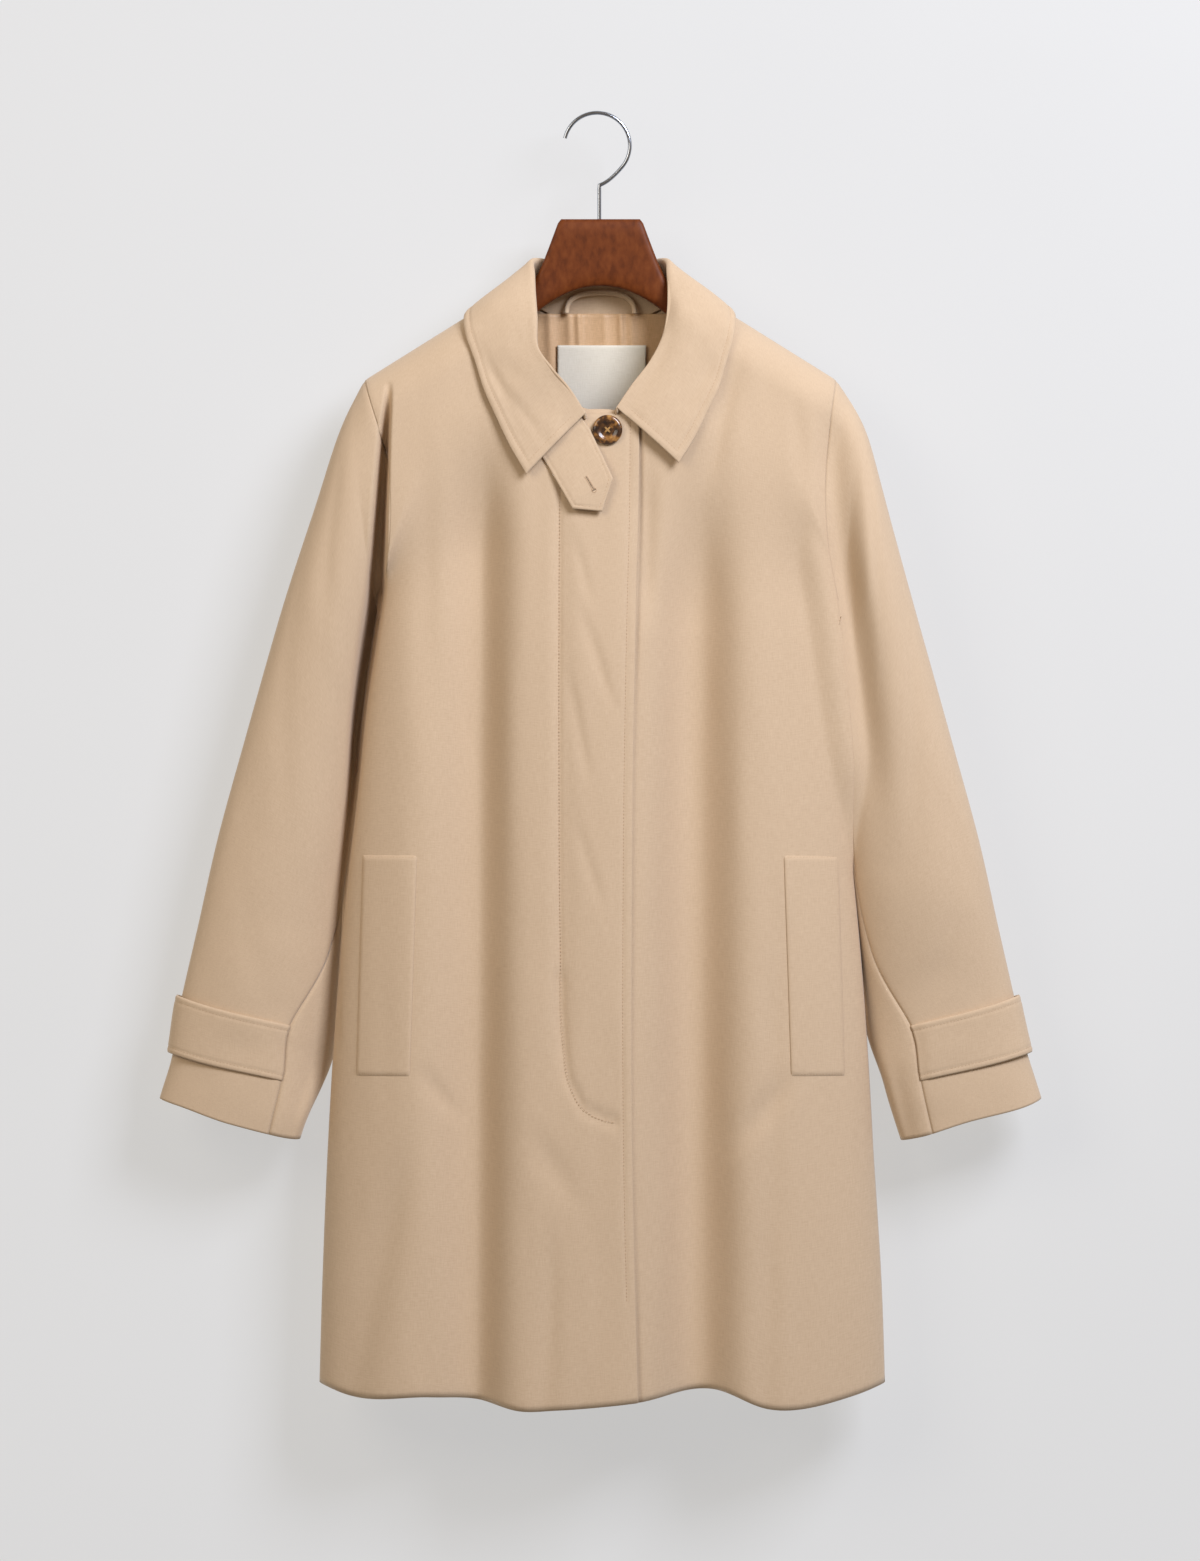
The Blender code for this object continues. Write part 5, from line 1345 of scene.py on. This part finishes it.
def place_loop(u, v):
    """Map of the loop: a round tube along a low arch."""
    turn = math.pi * v
    cos = np.cos(turn)
    x = -LOOP_HALF * np.sign(cos) * np.abs(cos) ** LOOP_ROUND
    z = LOOP_FOOT_Z + (LOOP_TOP_Z - LOOP_FOOT_Z) * np.maximum(np.sin(turn), 0.0) ** LOOP_ROUND
    way_x = np.gradient(x, axis=0)
    way_z = np.gradient(z, axis=0)
    length = np.hypot(way_x, way_z)
    round_turn = 2 * math.pi * u
    out = LOOP_R * np.cos(round_turn)
    return x - way_z / length * out, LOOP_Y + LOOP_R * np.sin(round_turn), z + way_x / length * out


def weld(made):
    """Join the edges of a grid that closes on itself."""
    bm = bmesh.new()
    bm.from_mesh(made.data)
    bmesh.ops.remove_doubles(bm, verts=bm.verts, dist=0.01 * MM)
    bmesh.ops.recalc_face_normals(bm, faces=bm.faces)
    bm.to_mesh(made.data)
    bm.free()


loop = grid_object("hanging_loop_cloth", 16, 120, place_loop, (0, 0, 1), "gabardine", None, LOOP_WALL)[0]
weld(loop)
wear(loop, ["hanging_loop"])

# %% [markdown]
# The hanger's wood is stained dark and varnished, so the grain shows as fine dark lines along the arms and
# the edges catch a soft light. The hook is bright wire, which mirrors the room in long streaks. Both get a
# finer skin over their solids: rounded sections for the wood, and a smooth round rod for the wire.

# %% Hanger
def wood_look():
    """Stained and varnished wood with its grain along the arms."""
    made, nodes, links, shader = blank_material("wood")
    place = nodes.new("ShaderNodeTexCoord")
    grain = stretched_noise(nodes, links, place.outputs["Object"], (210.0, 210.0, 110.0), 4.0)
    stain = stretched_noise(nodes, links, place.outputs["Object"], (10.0, 60.0, 90.0), 2.0)
    shade = math_node(nodes, links, "ADD", math_node(nodes, links, "MULTIPLY", grain, 0.75),
                      math_node(nodes, links, "MULTIPLY", stain, 0.25))
    stops = ((0.34, (0.10, 0.0225, 0.0035)), (0.50, (0.14, 0.033, 0.0055)), (0.68, (0.175, 0.046, 0.009)))
    links.new(colour_ramp(nodes, links, shade, stops), shader.inputs["Base Color"])
    bump(nodes, links, shader, grain, 0.12, 0.0004)
    shader.inputs["Roughness"].default_value = 0.5
    shader.inputs["Specular IOR Level"].default_value = 0.18
    shader.inputs["Coat Weight"].default_value = 0.04
    shader.inputs["Coat Roughness"].default_value = 0.3
    return made


def chrome_look():
    """Bright wire with a faintly uneven polish."""
    made, nodes, links, shader = blank_material("chrome")
    place = nodes.new("ShaderNodeTexCoord")
    polish = stretched_noise(nodes, links, place.outputs["Object"], (300.0, 300.0, 90.0), 3.0)
    stops = ((0.3, (0.36, 0.40, 0.46)), (0.7, (0.44, 0.48, 0.55)))
    links.new(colour_ramp(nodes, links, polish, stops), shader.inputs["Base Color"])
    shader.inputs["Metallic"].default_value = 1.0
    links.new(math_node(nodes, links, "ADD", math_node(nodes, links, "MULTIPLY", polish, 0.06), 0.14),
              shader.inputs["Roughness"])
    return made


LOOKS["wood"] = wood_look()
LOOKS["chrome"] = chrome_look()
HANGER_TOP_Z, HANGER_TOP_HALF, HANGER_ARCH_Z = -89.0, 35.0, -146.0
HANGER_END_X, HANGER_NECK_X, HANGER_THICK, HANGER_CAP = 182.0, 56.0, 13.0, 4.0
# how far the arms lie under the shoulder seams, and a dip beside the neck: its place, depth and width
ARM_DROP, DIP_X, DIP_DEPTH, DIP_SPAN = 3.24, 72.0, 3.2, 9.0
# depth of the arms from top to bottom, and how much of it they lose towards their ends
ARM_DEEP, ARM_THINNING = 31.0, 11.0


def arm_top(x):
    """Level of an arm's top."""
    return shoulder_z(x) - ARM_DROP - DIP_DEPTH * bell(x - DIP_X, DIP_SPAN)


def hanger_levels(x):
    """Top and bottom of the hanger at a distance from its middle."""
    x = np.abs(x)
    arm = arm_top(x)
    rise = np.clip((HANGER_NECK_X - x) / (HANGER_NECK_X - HANGER_TOP_HALF), 0.0, 1.0) ** 1.5
    top = arm + (HANGER_TOP_Z - arm) * rise
    thin = ease((x - HANGER_NECK_X) / (HANGER_END_X - HANGER_NECK_X))
    low = arm - ARM_DEEP + ARM_THINNING * thin
    foot = arm_top(HANGER_NECK_X) - ARM_DEEP
    arch = HANGER_ARCH_Z + (foot - HANGER_ARCH_Z) * (x / HANGER_NECK_X) ** 2
    return top, np.where(x < HANGER_NECK_X, arch, low)


def place_wood(u, v):
    """Map of the hanger's wood: rounded sections from one arm's end to the other's."""
    end = HANGER_END_X + HANGER_CAP
    x = end * np.sin((v - 0.5) * math.pi * 0.96) / math.sin(0.48 * math.pi)
    top, low = hanger_levels(np.minimum(np.abs(x), HANGER_END_X))
    shrink = np.sqrt(np.clip((end - np.abs(x)) / 6.0, 0.0, 1.0))
    turn = 2 * math.pi * u
    square = 2.6 + 1.6 * ease((60.0 - np.abs(x)) / 20.0)
    reach = shrink * (np.abs(np.cos(turn)) ** square + np.abs(np.sin(turn)) ** square) ** (-1 / square)
    y = HANGER_THICK / 2 * reach * np.cos(turn)
    return x, y, (top + low) / 2 + (top - low) / 2 * reach * np.sin(turn)


wood = grid_object("hanger_wood_skin", 64, 200, place_wood, (0, 0, 1), "wood", None, 0.0)[0]
del wood["cut"]
weld(wood)
carry(wood, ["hanger_wood"])

HOOK_R, HOOK_BEND, HOOK_STEM_X, HOOK_KINK_Z = 1.7, 28.0, 2.0, -60.0
# turns in degrees of the bend's tip and of its end, from where the wire runs straight on for a while
HOOK_TIP, HOOK_END, HOOK_RUN = 167.0, -40.0, 17.0
hook_turns = np.radians(np.linspace(HOOK_TIP, HOOK_END, 60))
bend = HOOK_BEND * np.stack((np.cos(hook_turns), np.sin(hook_turns)), axis=1) + (0.0, HOOK_R - HOOK_BEND)
leave = bend[-1] + HOOK_RUN * np.array((math.sin(hook_turns[-1]), -math.cos(hook_turns[-1])))
t = np.linspace(0, 1, 20)[1:, None]
kink = np.array((HOOK_STEM_X, HOOK_KINK_Z))
sweep = bend[-1] * (1 - t) ** 2 + leave * 2 * t * (1 - t) + kink * t * t
stem = np.array([(HOOK_STEM_X, z) for z in (-62.0, -64.0, -75.0, -88.0, -104.0)])
wire_line = np.concatenate((bend, sweep, stem))


def rod(name, line, radius):
    """A round rod along a line of places across and levels, as a mesh."""
    curve = bpy.data.curves.new(name, "CURVE")
    curve.dimensions = "3D"
    curve.bevel_depth = radius * MM
    curve.bevel_resolution = 5
    curve.use_fill_caps = True
    spline = curve.splines.new("POLY")
    spline.points.add(len(line) - 1)
    for target, (x, z) in zip(spline.points, line):
        target.co = (x * MM, 0.0, z * MM, 1.0)
    bent = bpy.data.objects.new(name, curve)
    bpy.context.scene.collection.objects.link(bent)
    mesh = bpy.data.meshes.new_from_object(bent.evaluated_get(bpy.context.evaluated_depsgraph_get()))
    bpy.data.objects.remove(bent)
    made = bpy.data.objects.new(name, mesh)
    bpy.context.scene.collection.objects.link(made)
    mesh.shade_smooth()
    mesh.materials.append(LOOKS["chrome"])
    return made


hook = rod("hook_wire", wire_line, HOOK_R)
carry(hook, ["hanger_hook"])
print("hanger", len(wood.data.polygons), "faces, hook", len(hook.data.polygons), "faces")

# %% [markdown]
# The coat hangs in front of a plain pale wall, close enough to cast a soft shadow on it to the lower left.
# The wall is clear from behind, so that the back of the coat can be looked at too. One large soft lamp
# stands at the upper right, a weaker one fills from the left, and the camera looks straight at the coat.

# %% Wall, lamps and camera
def wall_look(name, glow, see_through):
    """A matte pale paint; where asked, clear from behind."""
    made, nodes, links, shader = blank_material(name)
    place = nodes.new("ShaderNodeTexCoord")
    patch = stretched_noise(nodes, links, place.outputs["Object"], (1.5, 1.5, 1.5), 3.0)
    stops = ((0.3, (0.241, 0.246, 0.246)), (0.7, (0.261, 0.266, 0.266)))
    links.new(colour_ramp(nodes, links, patch, stops), shader.inputs["Base Color"])
    shader.inputs["Roughness"].default_value = 0.95
    shader.inputs["Emission Color"].default_value = (1.0, 1.0, 1.0, 1.0)
    shader.inputs["Emission Strength"].default_value = glow
    if see_through:
        side = nodes.new("ShaderNodeNewGeometry")
        clear = nodes.new("ShaderNodeBsdfTransparent")
        mix = nodes.new("ShaderNodeMixShader")
        links.new(side.outputs["Backfacing"], mix.inputs["Fac"])
        links.new(shader.outputs["BSDF"], mix.inputs[1])
        links.new(clear.outputs["BSDF"], mix.inputs[2])
        links.new(mix.outputs["Shader"], nodes["Material Output"].inputs["Surface"])
    return made


def stage_plane(name, size, matrix, look):
    """A flat plane of the room round the coat."""
    bm = bmesh.new()
    bmesh.ops.create_grid(bm, x_segments=1, y_segments=1, size=size, matrix=matrix)
    mesh_object(name, bm, look)


# places and half sizes of the planes in metres
WALL_PLACE, WALL_SIZE, WALL_GLOW = (0.0, 0.058, -0.55), 3.0, 0.5
FLOOR_PLACE, FLOOR_SIZE = (0.0, 0.0, -1.75), 4.0
upright = Matrix.Translation(WALL_PLACE) @ Matrix.Rotation(math.radians(90), 4, "X")
stage_plane("wall", WALL_SIZE, upright, wall_look("wall_paint", WALL_GLOW, True))
stage_plane("floor", FLOOR_SIZE, Matrix.Translation(FLOOR_PLACE), wall_look("floor_paint", 0.0, False))


def lamp(name, place, target, size, watts, colour):
    """A soft square lamp that points at a target."""
    light = bpy.data.lights.new(name, "AREA")
    light.size = size
    light.energy = watts
    light.color = colour
    made = bpy.data.objects.new(name, light)
    made.location = place
    made.rotation_euler = (Vector(target) - Vector(place)).to_track_quat("-Z", "Y").to_euler()
    bpy.context.scene.collection.objects.link(made)


# place, target, size, power and colour of each lamp
LAMPS = {
    "key": ((1.42, -2.05, 1.2), (0.0, 0.0, 0.15), 1.3, 88.0, (0.955, 0.995, 1.14)),
    "fill": ((-2.0, -2.5, 0.9), (-0.1, 0.0, -0.2), 1.8, 35.0, (1.0, 0.915, 0.79)),
}
for name, values in LAMPS.items():
    lamp(name, *values)
WORLD_COLOUR, WORLD_STRENGTH = (1.0, 0.77, 0.56, 1.0), 0.27
world = bpy.data.worlds.new("studio")
world.use_nodes = True
background = world.node_tree.nodes["Background"]
background.inputs["Color"].default_value = WORLD_COLOUR
background.inputs["Strength"].default_value = WORLD_STRENGTH
bpy.context.scene.world = world
bpy.context.scene.view_settings.view_transform = "Standard"

CAMERA_PLACE, CAMERA_SENSOR, CAMERA_LENS = (0.00255, -8.02, -0.5674), 36.0, 217.0
camera = bpy.data.cameras.new("camera")
camera.sensor_width = CAMERA_SENSOR
camera.lens = CAMERA_LENS
viewer = bpy.data.objects.new("camera", camera)
viewer.location = CAMERA_PLACE
viewer.rotation_euler = (math.radians(90), 0.0, 0.0)
bpy.context.scene.collection.objects.link(viewer)
bpy.context.scene.camera = viewer
print("stage ready, lamps", list(LAMPS))
